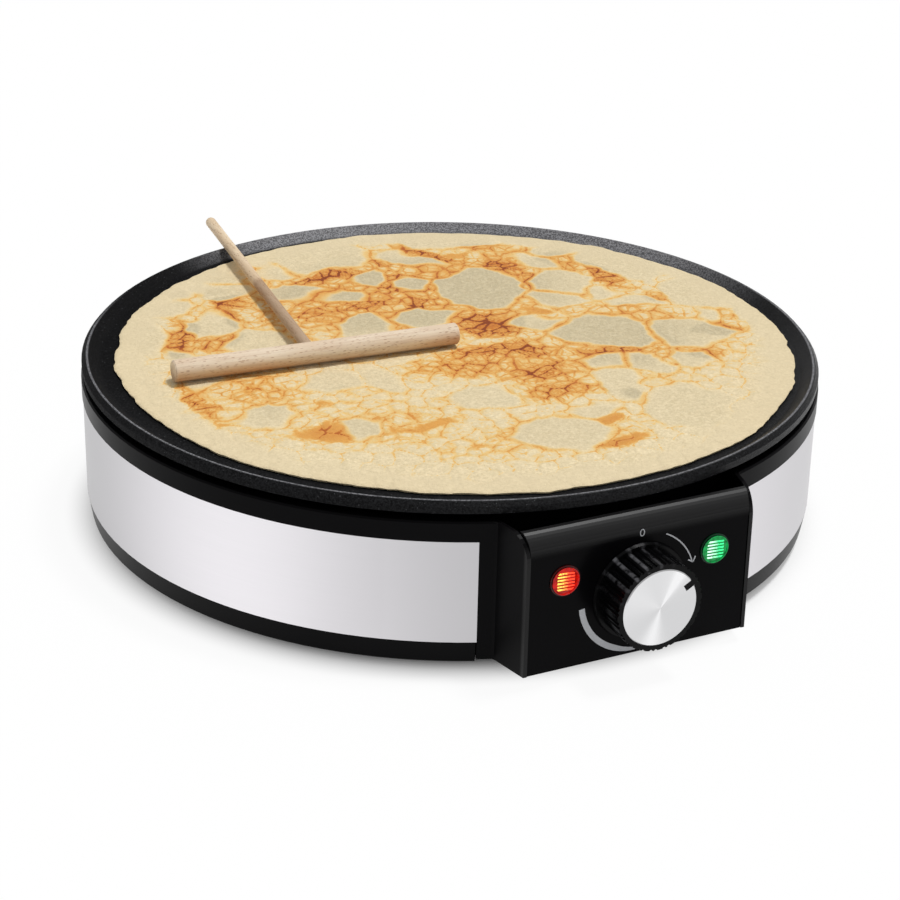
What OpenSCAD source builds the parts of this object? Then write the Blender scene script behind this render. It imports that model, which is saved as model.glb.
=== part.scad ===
// Electric crepe maker: a round hot plate on a drum-shaped body, with a control box at the front.
// Millimetres, +Z up, the control box faces -Y. The origin is on the plate's axis, at the table.

/* [Body] */
// Diameter over the steel band and over the plate's rim
body_d = 320; // [300:1:330]
// Height of the steel band
band_h = 43.7; // [40:0.1:55]
// Thickness of the steel band
band_t = 0.6; // [0.4:0.1:1]
// Wall of the moulded parts
wall_t = 2.5; // [2:0.1:3]
// Visible height of the ring above the band
ring_h = 8.5; // [7.5:0.1:12]
// Radial width of the ring's top, from its outer edge to the opening for the plate
ring_w = 11.4; // [10:0.1:16]
// How far the ring stands proud of the band
ring_proud = 0.4; // [0.2:0.1:1]
// Bevel on the ring's top outer edge
ring_bevel = 0.7; // [0.4:0.1:1.2]
// Depth of the ring's inner lip below its top
lip_depth = 10; // [9:0.1:10.5]
// Visible height of the base below the band
base_lip_h = 7.5; // [6:0.1:12]
// How far the base draws in from its top to its underside
base_taper = 1.5; // [0.5:0.1:2.5]
// How far the drum's lower edge reaches down past the floor of the base
base_drop = 2; // [1:0.1:3]
// Height of the upstand that locates the base inside the drum
upstand_h = 3; // [2:0.1:5]
// Width of the plain flank between the control box and each end of the band
flank_w = 6.5; // [5:0.1:9]

/* [Control box] */
// Width across the front edges of the cheeks
box_w = 100; // [96:1:106]
// How far the front stands out from the drum
box_reach = 8.8; // [8:0.1:12]
// Angle at which each cheek spreads towards the drum
box_flare = 12; // [6:1:14]
// Thickness of the cheeks
cheek_t = 1.6; // [1.5:0.1:3]
// Radius of the cheeks' top front corner
cheek_r = 10.5; // [6:0.5:12]
// Radius of the hollow corner between a cheek and the drum
flank_r = 2.5; // [1:0.1:3]
// How far the panel is set back between the cheeks
panel_set = 0.4; // [0.3:0.1:1]
// Thickness of the control panel
panel_t = 2.2; // [2:0.1:2.5]
// Radius of the curve at the top of the panel
panel_r = 10; // [9.5:0.1:12]
// Width of the flat rim along the panel's top edge
panel_rim = 2; // [1.5:0.1:3]
// Play between the panel and the cheeks on each side
panel_play = 0.15; // [0.1:0.05:0.3]

/* [Cooking plate] */
// Air gap between the ring and the underside of the plate's rim
air_gap = 3.1; // [2.5:0.1:5]
// Height of the plate's upright outer edge
rim_edge_h = 3.1; // [2.5:0.1:4]
// Height of the crest above the outer edge
crest_h = 1.9; // [1.5:0.1:2.5]
// Radial distance of the crest from the outer edge
crest_in = 2.4; // [2:0.1:3]
// Depth of the cooking surface below the crest
dish_depth = 3.6; // [3:0.1:4.5]
// Radial width of the slope from the crest down to the cooking surface
slope_w = 5.6; // [4:0.1:8]
// Thickness of the plate under the cooking surface
plate_t = 7; // [6.5:0.1:9]
// Radial play between the plate's body and the ring's opening
plate_play = 3; // [2:0.1:4]
// Distance of the three mounting posts from the axis
post_at = 80; // [70:1:88]
// Radius of the posts cast on the plate
post_r = 7; // [6:0.5:8]
// Length of the posts cast on the plate
post_h = 10.4; // [9.5:0.1:14]

/* [Heating element] */
// Radius of the element's loop
loop_r = 112; // [108:1:116]
// Diameter of the element's tube
tube_d = 8; // [7:0.1:8.5]
// Play of the element in its groove
tube_play = 0.15; // [0.1:0.05:0.3]
// Angle left open at the front of the loop
loop_gap = 30; // [26:1:36]
// Bend radius at the ends of the element
end_bend = 8; // [7:0.5:9]
// Length of the straight ends below the bend
end_len = 10; // [9:0.5:12]
// Thickness of the clips that hold the element, the sensor and the fuse
clip_t = 1.2; // [1:0.1:1.5]
// Width of the clips
clip_w = 8; // [7:0.5:12]
// Radius of the clip screws' threads
clip_screw_r = 1.5; // [1.2:0.1:1.8]

/* [Heat shield] */
// Thickness of the sheet
shield_t = 0.8; // [0.5:0.1:1]
// Height of the turned-up edge
shield_edge_h = 4; // [3:0.5:5]
// Radial play between the shield and the ring's inner lip
shield_play = 8; // [7:0.5:12]

/* [Fasteners and feet] */
// Radius of the studs that hold the plate down
stud_r = 2.5; // [2:0.1:3]
// Wall of the spacer tubes on the studs
spacer_wall = 2; // [1.5:0.1:2.5]
// Height of the post seats above the underside of the base
seat_h = 18; // [16:1:22]
// Radius of the post seats in the base
seat_r = 8; // [7.5:0.1:9]
// Height of the stud nuts
nut_h = 4; // [3:0.1:5]
// Radius of the base screws' threads
screw_r = 1.8; // [1.5:0.1:2]
// Radius of the base screws' bosses
boss_r = 5.3; // [5:0.1:6]
// Length of thread in the housing's bosses
screw_grip = 12; // [8:1:16]
// Height of the feet below the base
foot_h = 6; // [5:0.1:9]
// Radius of the feet
foot_r = 11; // [9:0.1:13]
// Distance of the feet from the axis
foot_at = 128; // [118:1:132]
// Radius of the stem that holds each foot in the base
foot_stem_r = 4; // [3:0.1:5]

/* [Knob] */
// Drop of the knob's axis below the top of the band
knob_drop = 23.7; // [22:0.1:25]
// Radius over the knob's ribs
knob_r = 18.6; // [17:0.1:19]
// Radius of the thin skirt at the back of the knob
skirt_r = 20.6; // [19.6:0.1:21.5]
// Thickness of the skirt
skirt_t = 1.2; // [1:0.1:2]
// Height of the knob's front above the cheeks' front edges
knob_h = 16; // [14:0.1:20]
// Running gap between the knob and the panel
knob_gap = 0.5; // [0.4:0.1:0.8]
// Number of wide ribs around the knob
knob_ribs = 20; // [16:1:22]
// Radius of the metal cap in the knob's front
cap_r = 16.2; // [15:0.1:16.5]
// Thickness of the metal cap
cap_t = 1; // [0.8:0.1:1.5]
// Width of the pointer bar that shows in the cap's notch
pointer_w = 2.8; // [1.6:0.1:3]
// Length of the pointer bar inside the cap's edge
pointer_l = 4; // [3:0.1:6]
// Clockwise angle from the 0 mark at which the knob stands
knob_rest = 59.5; // [0:0.5:200]
// Radius of the thermostat's spindle
spindle_r = 3; // [2.5:0.1:3.5]
// Running clearance around the spindle
spindle_play = 0.05; // [0.02:0.01:0.08]

/* [Pilot lamps] */
// Distance between the two pilot lamps
lamp_pitch = 66.5; // [62:0.1:70]
// Drop of the lamps' axes below the top of the band
lamp_drop = 12.5; // [10:0.1:14]
// Radius of the lenses' flanges
lens_r = 6.9; // [6.4:0.1:7.2]
// Height of the lenses in front of the panel
lens_h = 1.2; // [1:0.1:2]
// Radius of the lenses' barrels
barrel_r = 5.6; // [5.2:0.1:5.8]
// Length of the lenses' barrels
barrel_l = 12; // [10:0.5:13]

/* [Thermostat] */
// Width and height of the thermostat's case
case_w = 34; // [30:1:36]
// Depth of the thermostat's case
case_d = 17; // [14:0.5:18]
// Thickness of the thermostat's bracket
bracket_t = 1.2; // [1:0.1:1.6]
// Distance between the thermostat's screws
fix_pitch = 28; // [26:1:30]
// Radius of the sensor bulb
bulb_r = 3; // [2.5:0.1:3.2]
// Length of the sensor bulb
bulb_l = 60; // [50:1:70]

/* [Crepe and spreader] */
// Gap between the crepe and the foot of the plate's slope
crepe_margin = 3; // [2:0.1:8]
// Thickness of the crepe
crepe_t = 1.7; // [1.2:0.1:2.5]
// How far the crepe lies off the plate's middle, to the right
crepe_off = 2.4; // [0:0.1:2.6]
// Diameter of the spreader's head
head_d = 9.5; // [8.5:0.1:12]
// Length of the spreader's head
head_l = 128.5; // [110:0.5:150]
// Diameter of the spreader's handle
handle_d = 5; // [4:0.1:6]
// Length of the handle from the head's axis to its tip
handle_l = 176.5; // [165:0.5:185]
// Play between the spreader and what it lies on
lie_gap = 0.3; // [0.2:0.05:0.4]

/* [Hidden] */
$fn = 96;
eps = 0.01;          // overreach of a cut past the face it opens
cut = 2;             // overreach of a cut into free space
fit = 0.1;           // clearance of a pin or screw in its hole
thread_play = 0.05;  // clearance drawn around a thread

// Heights above the table, from the feet upwards
z_base = foot_h;
z_floor_in = z_base + wall_t;
z_band = z_base + base_lip_h;
z_ring = z_band + band_h;
z_top = z_ring + ring_h;
z_rim = z_top + air_gap;
z_edge = z_rim + rim_edge_h;
z_crest = z_edge + crest_h;
z_cook = z_crest - dish_depth;
z_under = z_cook - plate_t;
z_shield = z_under - post_h - shield_t;
z_seat = z_base + seat_h;
z_boss = z_band + upstand_h + fit;
z_roof = z_ring - wall_t;
z_knob = z_ring - knob_drop;
z_lamp = z_ring - lamp_drop;
z_crepe = z_cook + crepe_t;
z_head = z_crepe + lie_gap + head_d / 2;

// Radii from the plate's axis
body_r = body_d / 2;
ring_r = body_r + ring_proud;
open_r = ring_r - ring_w;
band_in_r = body_r - band_t;
skin_gap = 0.1;
skirt_out_r = band_in_r - skin_gap;
skirt_in_r = skirt_out_r - wall_t;
upstand_r = skirt_in_r - skin_gap;
crest_r = body_r - crest_in;
cook_r = crest_r - slope_w;
plate_body_r = open_r - plate_play;
shield_r = open_r - shield_play;
boss_at = skirt_in_r - boss_r + 1;
screw_sink = wall_t - 0.5;   // depth of the recesses for the base screws' heads
crepe_r = cook_r - crepe_margin;
crepe_x = min(crepe_off, crepe_margin - 0.5);

// The control box in plan: a front edge, and two cheeks that spread towards the drum
y_front = -(body_r + box_reach);
y_panel = y_front + panel_set;
y_panel_in = y_panel + panel_t;
cheek_dir = [-sin(box_flare), cos(box_flare)];
cheek_out = [-cos(box_flare), -sin(box_flare)];
box_corner = [-box_w / 2, y_front];
root = meet(box_corner, cheek_dir, body_r);
root_a = atan2(-root[0], -root[1]);
flank_a = root_a + flank_w / body_r * 180 / PI;
seam_gap = 0.4;      // gap between the front wall and each end of the base's edge
sink = 0.2;          // how far a wall is sunk past the one it joins
box_back = y_front + 3 * box_reach;

// Angles of what repeats around the axis
boss_angles = [45, 135, 225, 315];
foot_angles = [38, 142, 218, 322];
post_angles = [90, 210, 330];
clip_angles = [20, 90, 160, 228, 312];
vent_count = 36;
vent_rows = [40, 100];
vent_l = 16;
vent_w = 2.4;

// Small fixings under the plate: each clip spans a round body and is screwed down on both sides
clip_foot = 6;
clip_screw_l = 5;
clip_head_r = 2 * clip_screw_r;
clip_head_h = 1.8;
bulb_x = -25;
bulb_at = -62;
fuse_at = [-40, 20];
fuse_r = 2.4;
fuse_l = 12;
fuse_lead_l = 9;
function clip_out(r) = r + clip_t + clip_foot / 2;
clip_places = concat(
    [for (a = clip_angles, s = [-1, 1]) (loop_r + s * clip_out(tube_d / 2 + tube_play)) * [cos(a), sin(a)]],
    [for (s = [-1, 1]) [bulb_x, bulb_at + s * clip_out(bulb_r)]],
    [for (s = [-1, 1]) [fuse_at[0], fuse_at[1] + s * clip_out(fuse_r)]]);

// Cord entry and wiring
gland_r = 8;
gland_flange_r = 11;
gland_flange_t = 2.5;
gland_bore_r = 3.8;
gland_len = 20;
gland_nut_t = 4;
z_gland = z_base + 22;
block = [28, 16, 14];
block_at = [45, body_r - 42];
block_ways = 3;
block_way_r = 2;
wire_d = 2.6;
lead_d = 2;
wire_sides = 8;
wire_steps = 6;

// The wires' routes, as points chosen along their way through the body
block_y = block_at[1] - block[1] / 2;
z_way = z_floor_in + block[2] / 2;
way_pitch = block[0] / block_ways;
end_at = [loop_r * sin(loop_gap / 2) - end_bend * cos(loop_gap / 2),
    -loop_r * cos(loop_gap / 2) - end_bend * sin(loop_gap / 2)];
z_end = z_under - end_bend - end_len;
tab = [6.3, 8, 0.8];
tab_x = 9;
y_case = y_panel_in + bracket_t + case_d;
y_tab = y_case + tab[1];
tab_drop = 8;
lead_off = 0.6;
live_route = [[block_at[0] - way_pitch, block_y - lead_off, z_way], [34, 80, 14], [30, 20, 13],
    [20, -50, 14], [tab_x, -100, 18], [tab_x, y_tab + 14, z_knob - tab_drop],
    [tab_x, y_tab + lead_off, z_knob - tab_drop]];
neutral_route = [[block_at[0], block_y - lead_off, z_way], [44, 80, 13], [46, 0, 13],
    [44, -70, 15], [30, -100, 22], [end_at[0], end_at[1], z_end - 10],
    [end_at[0], end_at[1], z_end - lead_off]];
heater_route = [[-tab_x, y_tab + lead_off, z_knob - tab_drop], [-tab_x, y_tab + 10, z_knob - tab_drop],
    [-18, -120, 26], [-end_at[0], end_at[1], z_end - 9], [-end_at[0], end_at[1], z_end - lead_off]];
earth_at = [40, 30];
earth_route = [[block_at[0] + way_pitch, block_y - lead_off, z_way], [56, 80, 18], [52, 52, 30],
    [earth_at[0], earth_at[1], z_shield - 12], [earth_at[0], earth_at[1], z_shield - 4.6]];
lamp_back = y_panel_in + barrel_l + 3.3;
capillary_route = [[bulb_x + bulb_l / 2 + lead_off, bulb_at, z_under - bulb_r],
    [bulb_x + bulb_l / 2 + 5, bulb_at - 3, z_under - bulb_r - 1], [14, -74, z_shield + 3],
    [14, -76, z_shield - 6], [6, -96, 44], [0, -116, 42],
    [0, y_case + 6, z_knob + 8], [0, y_case + lead_off, z_knob + 8]];

// Small fixings
earth_r = 2;
earth_head_r = 4;
earth_head_h = 2.6;
earth_tag_r = 5;
earth_tag_t = 0.8;
block_screw_r = 1.5;
block_screw_head_r = 2.8;
block_screw_head_h = 2;
bush_r = 4.8;
panel_hole_r = bush_r + fit;
fix_r = 1.9;
fix_head_r = 3.4;
nut_ring_w = 2.4;
nut_ring_t = 1;
neon_r = 2.6;
neon_l = 10;
holder_l = 5;
lens_flange_t = 0.5;
lens_wall = 1.2;
barrel_play = 0.1;
panel_lug = [9, 7, 8];
panel_screw_r = 1.5;
panel_screw_head_r = 2.8;
panel_screw_head_h = 1.4;
slot_w = 0.8;

// Knob details
y_knob_back = y_panel - knob_gap;
y_knob_front = y_front - knob_h;
knob_len = y_knob_back - y_knob_front;
knob_shell = 2;
knob_face_t = 3;
hub_r = 6;
notch_r = 0.75;
notch_half = 3.2;
cap_seat = 0.6;
spindle_flat = 0.8;
spindle_in = 6;

// Spreader: where it lies on the crepe, and how it is made
head_x = -60.6;
head_y = 5.8;
head_turn = -3.9;
handle_shift = -2.5;
handle_lean = 87.4;
socket_depth = 6.5;

// ---------------------------------------------------------------- helpers

// Distance-based point where a line from p along the unit vector d first meets a circle of radius r
function along(p, d, r) = let (b = p * d) -b - sqrt(b * b - p * p + r * r);
function meet(p, d, r) = p + along(p, d, r) * d;

// Half width of the box at depth y, inset by a wall
function box_half(y, inset) = box_w / 2 + (y - y_front) * tan(box_flare) - inset / cos(box_flare);

module polar(r, a) {
    rotate([0, 0, a]) translate([r, 0, 0]) children();
}

// Points along an arc, for a profile
function arc(c, r, a0, a1, n) = [for (i = [0:n]) let (a = a0 + (a1 - a0) * i / n) c + r * [cos(a), sin(a)]];

module tube(r_out, r_in, h) {
    difference() {
        cylinder(r = r_out, h = h);
        translate([0, 0, -eps]) cylinder(r = r_in, h = h + 2 * eps);
    }
}

// A sector of a ring, centred on -Y
module front_sector(r_in, r_out, half_a, z0, z1) {
    rotate([0, 0, -90 - half_a]) rotate_extrude(angle = 2 * half_a)
        translate([r_in, z0]) square([r_out - r_in, z1 - z0]);
}

// The box in plan, inset by a wall on each side, from y0 to y1
module box_plan(inset, y0, y1) {
    polygon([[-box_half(y0, inset), y0], [box_half(y0, inset), y0],
        [box_half(y1, inset), y1], [-box_half(y1, inset), y1]]);
}

module box_block(inset, y0, y1, z0, z1) {
    translate([0, 0, z0]) linear_extrude(z1 - z0) box_plan(inset, y0, y1);
}

// Extrudes a profile given in Y and Z along X, over a width centred on X = 0
module along_x(w) {
    translate([-w / 2, 0, 0]) rotate([90, 0, 90]) linear_extrude(w) children();
}

// A cylinder that points forwards from the depth y0 to y1, at x and z
module forward(x, z, y0, y1, r) {
    translate([x, y0, z]) rotate([90, 0, 0]) cylinder(r = r, h = y0 - y1);
}

// A screw that points up from z = 0, with its head below and a cross recess
module screw_up(r, len, head_r, head_h) {
    difference() {
        union() {
            translate([0, 0, -head_h]) cylinder(r = head_r, h = head_h);
            cylinder(r = r, h = len);
        }
        for (a = [0, 90]) rotate([0, 0, a])
            translate([-head_r * 0.6, -slot_w / 2, -head_h - eps]) cube([head_r * 1.2, slot_w, head_h / 2]);
    }
}

// A tube of round section swept along a smoothed route
function cubic(a, b, c, d, t) =
    0.5 * (2 * b + (c - a) * t + (2 * a - 5 * b + 4 * c - d) * t * t + (3 * b - a - 3 * c + d) * t * t * t);
function smooth(p) = let (n = len(p)) [
    for (i = [0:n - 2]) for (k = [0:wire_steps - 1])
        cubic(p[max(i - 1, 0)], p[i], p[i + 1], p[min(i + 2, n - 1)], k / wire_steps),
    p[n - 1]];
function unit(v) = v / norm(v);
function heading(p, i) = unit(p[min(i + 1, len(p) - 1)] - p[max(i - 1, 0)]);
function across(t, last) = unit(last - (last * t) * t);
function sides(p, i, last) = let (a = across(heading(p, i), last))
    i == len(p) - 1 ? [a] : concat([a], sides(p, i + 1, a));
module wire(route, d) {
    p = smooth(route);
    n = len(p);
    m = wire_sides;
    u = sides(p, 0, [1, 0.01, 0.02]);
    ring_points = [for (i = [0:n - 1]) let (t = heading(p, i), v = cross(t, u[i]))
        for (k = [0:m - 1]) p[i] + d / 2 * (cos(360 * k / m) * u[i] + sin(360 * k / m) * v)];
    skin = [for (i = [0:n - 2]) for (k = [0:m - 1])
        [i * m + k, (i + 1) * m + k, (i + 1) * m + (k + 1) % m, i * m + (k + 1) % m]];
    ends = [[for (k = [0:m - 1]) k], [for (k = [m - 1:-1:0]) (n - 1) * m + k]];
    polyhedron(ring_points, concat(skin, ends));
}

// ---------------------------------------------------------------- the plate and what it carries

module plate_profile() {
    edge_r = 0.6;
    polygon(concat(
        [[0, z_under], [plate_body_r, z_under], [plate_body_r + 1, z_rim]],
        arc([body_r - edge_r, z_rim + edge_r], edge_r, -90, 0, 4),
        [[body_r, z_edge]],
        arc([crest_r, z_crest - crest_h], crest_h, 60, 100, 4),
        [[cook_r + 0.6, z_cook + 0.3], [cook_r, z_cook], [0, z_cook]]));
}

module hot_plate() {
    color("#26272a") difference() {
        union() {
            rotate_extrude($fn = 180) plate_profile();
            for (a = post_angles) polar(post_at, a)
                translate([0, 0, z_under - post_h]) cylinder(r = post_r, h = post_h + 1);
        }
        rotate_extrude($fn = 180) translate([loop_r, z_under]) circle(r = tube_d / 2 + tube_play);
        for (a = post_angles) polar(post_at, a) translate([0, 0, z_under - post_h - eps])
            cylinder(r = stud_r + thread_play, h = post_h - cut);
        for (p = clip_places) translate([p[0], p[1], z_under - eps])
            cylinder(r = clip_screw_r + thread_play, h = clip_screw_l);
    }
}

// One end of the element: a quarter bend and a straight leg, at the loop's end, heading along +Y
module element_end() {
    translate([0, 0, -end_bend]) rotate([0, -90, 0])
        rotate_extrude(angle = 90) translate([end_bend, 0]) circle(r = tube_d / 2);
    translate([0, end_bend, -end_bend - end_len]) cylinder(r = tube_d / 2, h = end_len);
}

module heating_element() {
    color("#6f6a66") translate([0, 0, z_under]) for (s = [0, 1]) mirror([s, 0, 0]) {
        // each half reaches a little past the middle at the back
        rotate([0, 0, -90 + loop_gap / 2]) rotate_extrude(angle = 182 - loop_gap / 2)
            translate([loop_r, 0]) circle(r = tube_d / 2);
        polar(loop_r, -90 + loop_gap / 2) mirror([0, 1, 0]) element_end();
    }
}

// A clip over a body that lies along Y, r wide to each side and down to the depth d below the plate
module clip(r, d, w) {
    difference() {
        union() {
            for (s = [0, 1]) mirror([s, 0, 0]) {
                translate([r, -w / 2, -clip_t]) cube([clip_t + clip_foot, w, clip_t]);
                translate([r, -w / 2, -d - clip_t]) cube([clip_t, w, d + clip_t]);
            }
            translate([-r - clip_t, -w / 2, -d - clip_t]) cube([2 * r + 2 * clip_t, w, clip_t]);
        }
        for (s = [-1, 1]) translate([s * clip_out(r), 0, -clip_t - eps])
            cylinder(r = clip_screw_r + fit, h = clip_t + 2 * eps);
    }
}

module element_clips() {
    color("#a9abad") for (a = clip_angles) polar(loop_r, a) translate([0, 0, z_under])
        clip(tube_d / 2 + tube_play, tube_d / 2, clip_w);
}

module clip_screws() {
    color("#c9cacc") for (p = clip_places) translate([p[0], p[1], z_under - clip_t])
        screw_up(clip_screw_r, clip_screw_l, clip_head_r, clip_head_h);
}

module heat_shield() {
    leg_hole_r = tube_d / 2 + 2;
    color("#b9bbbd") difference() {
        union() {
            translate([0, 0, z_shield]) cylinder(r = shield_r, h = shield_t);
            translate([0, 0, z_shield]) tube(shield_r, shield_r - shield_t, shield_edge_h);
        }
        for (a = post_angles) polar(post_at, a)
            translate([0, 0, z_shield - eps]) cylinder(r = stud_r + fit, h = shield_t + 2 * eps);
        for (s = [-1, 1]) translate([s * end_at[0], end_at[1], z_shield - eps])
            cylinder(r = leg_hole_r, h = shield_t + 2 * eps);
        translate([earth_at[0], earth_at[1], z_shield - eps])
            cylinder(r = earth_r + fit, h = shield_t + 2 * eps);
        translate([14, -75, z_shield - eps]) cylinder(r = 4, h = shield_t + 2 * eps);
    }
}

module plate_studs() {
    z_tip = z_base + 5 - nut_h / 2;
    color("#c4c6c8") for (a = post_angles) polar(post_at, a)
        translate([0, 0, z_tip]) cylinder(r = stud_r, h = z_under - cut - 1 - z_tip);
}

module stud_spacers() {
    color("#8d8f92") for (a = post_angles) polar(post_at, a)
        translate([0, 0, z_seat]) tube(stud_r + fit + spacer_wall, stud_r + fit, z_shield - z_seat);
}

module stud_nuts() {
    color("#c4c6c8") for (a = post_angles) polar(post_at, a)
        translate([0, 0, z_base + 5]) difference() {
            cylinder(r = stud_r * 1.85, h = nut_h, $fn = 6);
            translate([0, 0, -eps]) cylinder(r = stud_r + thread_play, h = nut_h + 2 * eps);
        }
}

module sensor_bulb() {
    color("#b87a4b") translate([bulb_x - bulb_l / 2, bulb_at, z_under - bulb_r])
        rotate([0, 90, 0]) cylinder(r = bulb_r, h = bulb_l);
}

module bulb_clip() {
    color("#a9abad") translate([bulb_x, bulb_at, z_under]) rotate([0, 0, 90])
        clip(bulb_r, 2 * bulb_r, clip_w);
}

module thermal_fuse() {
    color("#d8d4c8") translate([fuse_at[0], fuse_at[1], z_under - fuse_r]) rotate([0, 90, 0]) {
        translate([0, 0, -fuse_l / 2]) cylinder(r = fuse_r, h = fuse_l);
        translate([0, 0, -fuse_l / 2 - fuse_lead_l]) cylinder(r = fuse_r / 4, h = fuse_l + 2 * fuse_lead_l);
    }
}

module fuse_clip() {
    color("#a9abad") translate([fuse_at[0], fuse_at[1], z_under]) rotate([0, 0, 90])
        clip(fuse_r, 2 * fuse_r, clip_w * 0.8);
}

// ---------------------------------------------------------------- the drum

// The ring with its inner lip, and the skirt that backs the steel band
module housing_profile() {
    polygon([
        [skirt_in_r, z_band], [skirt_out_r, z_band], [skirt_out_r, z_ring], [ring_r, z_ring],
        [ring_r, z_top - ring_bevel], [ring_r - ring_bevel, z_top], [open_r, z_top],
        [open_r, z_top - lip_depth], [open_r + wall_t, z_top - lip_depth],
        [open_r + wall_t, z_top - wall_t], [skirt_in_r, z_top - wall_t]]);
}

// Rounds the hollow corner between a cheek and the drum; the arc dips slightly into both
module flank_fillet() {
    stand = 0.97 * flank_r;
    start = box_corner + stand * cheek_out;
    centre = start + along(start, cheek_dir, body_r + stand) * cheek_dir;
    for (s = [0, 1]) mirror([s, 0, 0]) translate([0, 0, z_base - cut]) linear_extrude(z_top - z_base + cut)
        difference() {
            polygon([centre - (stand + 1) * cheek_out, centre, centre * (1 - (stand + 1) / body_r),
                root * 0.985]);
            translate(centre) circle(r = flank_r, $fn = 48);
        }
}

module cheek_profile() {
    polygon(concat(
        [[box_back, 0], [y_front, 0]],
        arc([y_front + cheek_r, z_top - cheek_r], cheek_r, 180, 90, 8),
        [[box_back, z_top]]));
}

module upper_housing() {
    wide = 2 * box_w;
    color("#17181a") difference() {
        union() {
            rotate_extrude($fn = 180) housing_profile();
            // the plain front wall with its flanks, which comes down to the base's edge
            front_sector(skirt_in_r - sink, body_r, flank_a, z_base - 1, z_ring + 1);
            // the floor of the pocket behind the panel's top edge
            front_sector(open_r + wall_t / 2, body_r - 1, root_a, z_roof - 0.5, z_ring + 0.6);
            difference() {
                intersection() {
                    box_block(0, y_front, box_back, z_base - 1.5, z_top);
                    along_x(wide) cheek_profile();
                }
                translate([0, 0, z_base - 2 * cut]) cylinder(r = skirt_out_r, h = z_top + 4 * cut, $fn = 180);
            }
            flank_fillet();
            for (a = boss_angles) polar(boss_at, a)
                translate([0, 0, z_boss + fit]) cylinder(r = boss_r, h = z_ring - z_boss - fit);
        }
        // everything below the level of the base
        translate([-body_r, -2 * body_r, z_base - 5]) cube([2 * body_r, 2 * body_r, 5]);
        // the room behind the panel, open to the drum and at the front and below
        box_block(cheek_t, y_front - cut, box_back, z_base - cut, z_roof);
        // the seat of the panel
        box_block(cheek_t, y_front - cut, y_panel_in + fit, z_base - cut, z_top + cut);
        // the pocket behind the panel's top edge
        translate([0, 0, z_ring]) linear_extrude(ring_h + cut) difference() {
            box_plan(cheek_t, y_front - cut, box_back);
            circle(r = open_r + wall_t, $fn = 180);
        }
        // holes for the base screws, the cord gland and the plate's opening
        for (a = boss_angles) polar(boss_at, a)
            translate([0, 0, z_band]) cylinder(r = screw_r + thread_play, h = upstand_h + screw_grip);
        translate([0, body_r + cut, z_gland]) rotate([90, 0, 0]) cylinder(r = gland_r + fit, h = 4 * wall_t);
    }
}

module steel_band() {
    color("#c9cbce") difference() {
        rotate([0, 0, -90 + flank_a]) rotate_extrude(angle = 360 - 2 * flank_a, $fn = 180)
            translate([band_in_r, z_band]) square([band_t, band_h]);
        translate([0, body_r + cut, z_gland]) rotate([90, 0, 0]) cylinder(r = gland_r + fit, h = 4 * wall_t);
    }
}

module base_profile() {
    edge_r = body_r - base_taper;
    edge_t = 1.6;
    chamfer = 0.5;
    polygon([
        [0, z_base], [edge_r - edge_t, z_base], [edge_r - edge_t, z_base - base_drop],
        [edge_r - chamfer, z_base - base_drop], [edge_r, z_base - base_drop + chamfer],
        [body_r, z_band], [upstand_r, z_band], [upstand_r, z_band + upstand_h],
        [upstand_r - wall_t, z_band + upstand_h], [upstand_r - wall_t, z_floor_in], [0, z_floor_in]]);
}

module base_pan() {
    nut_pocket_r = stud_r * 1.85 + 2;
    color("#1a1b1d") difference() {
        union() {
            difference() {
                rotate_extrude($fn = 180) base_profile();
                front_sector(upstand_r - 2 * sink, body_r + cut, flank_a + seam_gap / body_r * 180 / PI,
                    z_base - 2 * cut, z_band + upstand_h + cut);
                box_block(cheek_t, y_front, box_back, z_floor_in, z_band + upstand_h + cut);
            }
            // the tongue that closes the control box from below
            box_block(cheek_t + panel_play, y_panel_in + fit, box_back, z_base, z_floor_in);
            intersection() {
                for (a = boss_angles) polar(boss_at, a)
                    translate([0, 0, z_base + 1]) cylinder(r = boss_r, h = z_boss - z_base - 1);
                cylinder(r = upstand_r, h = z_ring, $fn = 180);
            }
            for (a = post_angles) polar(post_at, a)
                translate([0, 0, z_base + 1]) cylinder(r = seat_r, h = seat_h - 1);
        }
        for (a = boss_angles) polar(boss_at, a) {
            translate([0, 0, z_base - eps]) cylinder(r = screw_r + fit, h = z_band);
            translate([0, 0, z_base - eps]) cylinder(r = boss_r - 1.5, h = screw_sink + eps);
        }
        for (a = post_angles) polar(post_at, a) {
            translate([0, 0, z_base - eps]) cylinder(r = stud_r + fit, h = seat_h + 2 * eps);
            translate([0, 0, z_base - eps]) cylinder(r = nut_pocket_r, h = 5 + nut_h + eps);
        }
        for (a = foot_angles) polar(foot_at, a)
            translate([0, 0, z_base - eps]) cylinder(r = foot_stem_r + fit, h = wall_t + 2 * eps);
        for (r = vent_rows) for (i = [0:vent_count - 1]) polar(r, 360 * (i + 0.5) / vent_count)
            translate([-vent_l / 2, -vent_w / 2, z_base - eps]) cube([vent_l, vent_w, wall_t + 2 * eps]);
        translate([block_at[0], block_at[1], z_base - eps])
            cylinder(r = block_screw_r + thread_play, h = wall_t + 2 * eps);
        for (s = [-1, 1]) translate([s * panel_lug_x(), panel_lug_y(), z_base - eps]) {
            cylinder(r = panel_screw_r + fit, h = wall_t + 2 * eps);
            cylinder(r = panel_screw_head_r + fit, h = panel_screw_head_h + eps);
        }
    }
}

module base_screws() {
    color("#8f9194") for (a = boss_angles) polar(boss_at, a)
        translate([0, 0, z_base + screw_sink])
            screw_up(screw_r, base_lip_h + upstand_h - wall_t + screw_grip - 1,
                boss_r - 1.7, screw_sink - 0.1);
}

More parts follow.
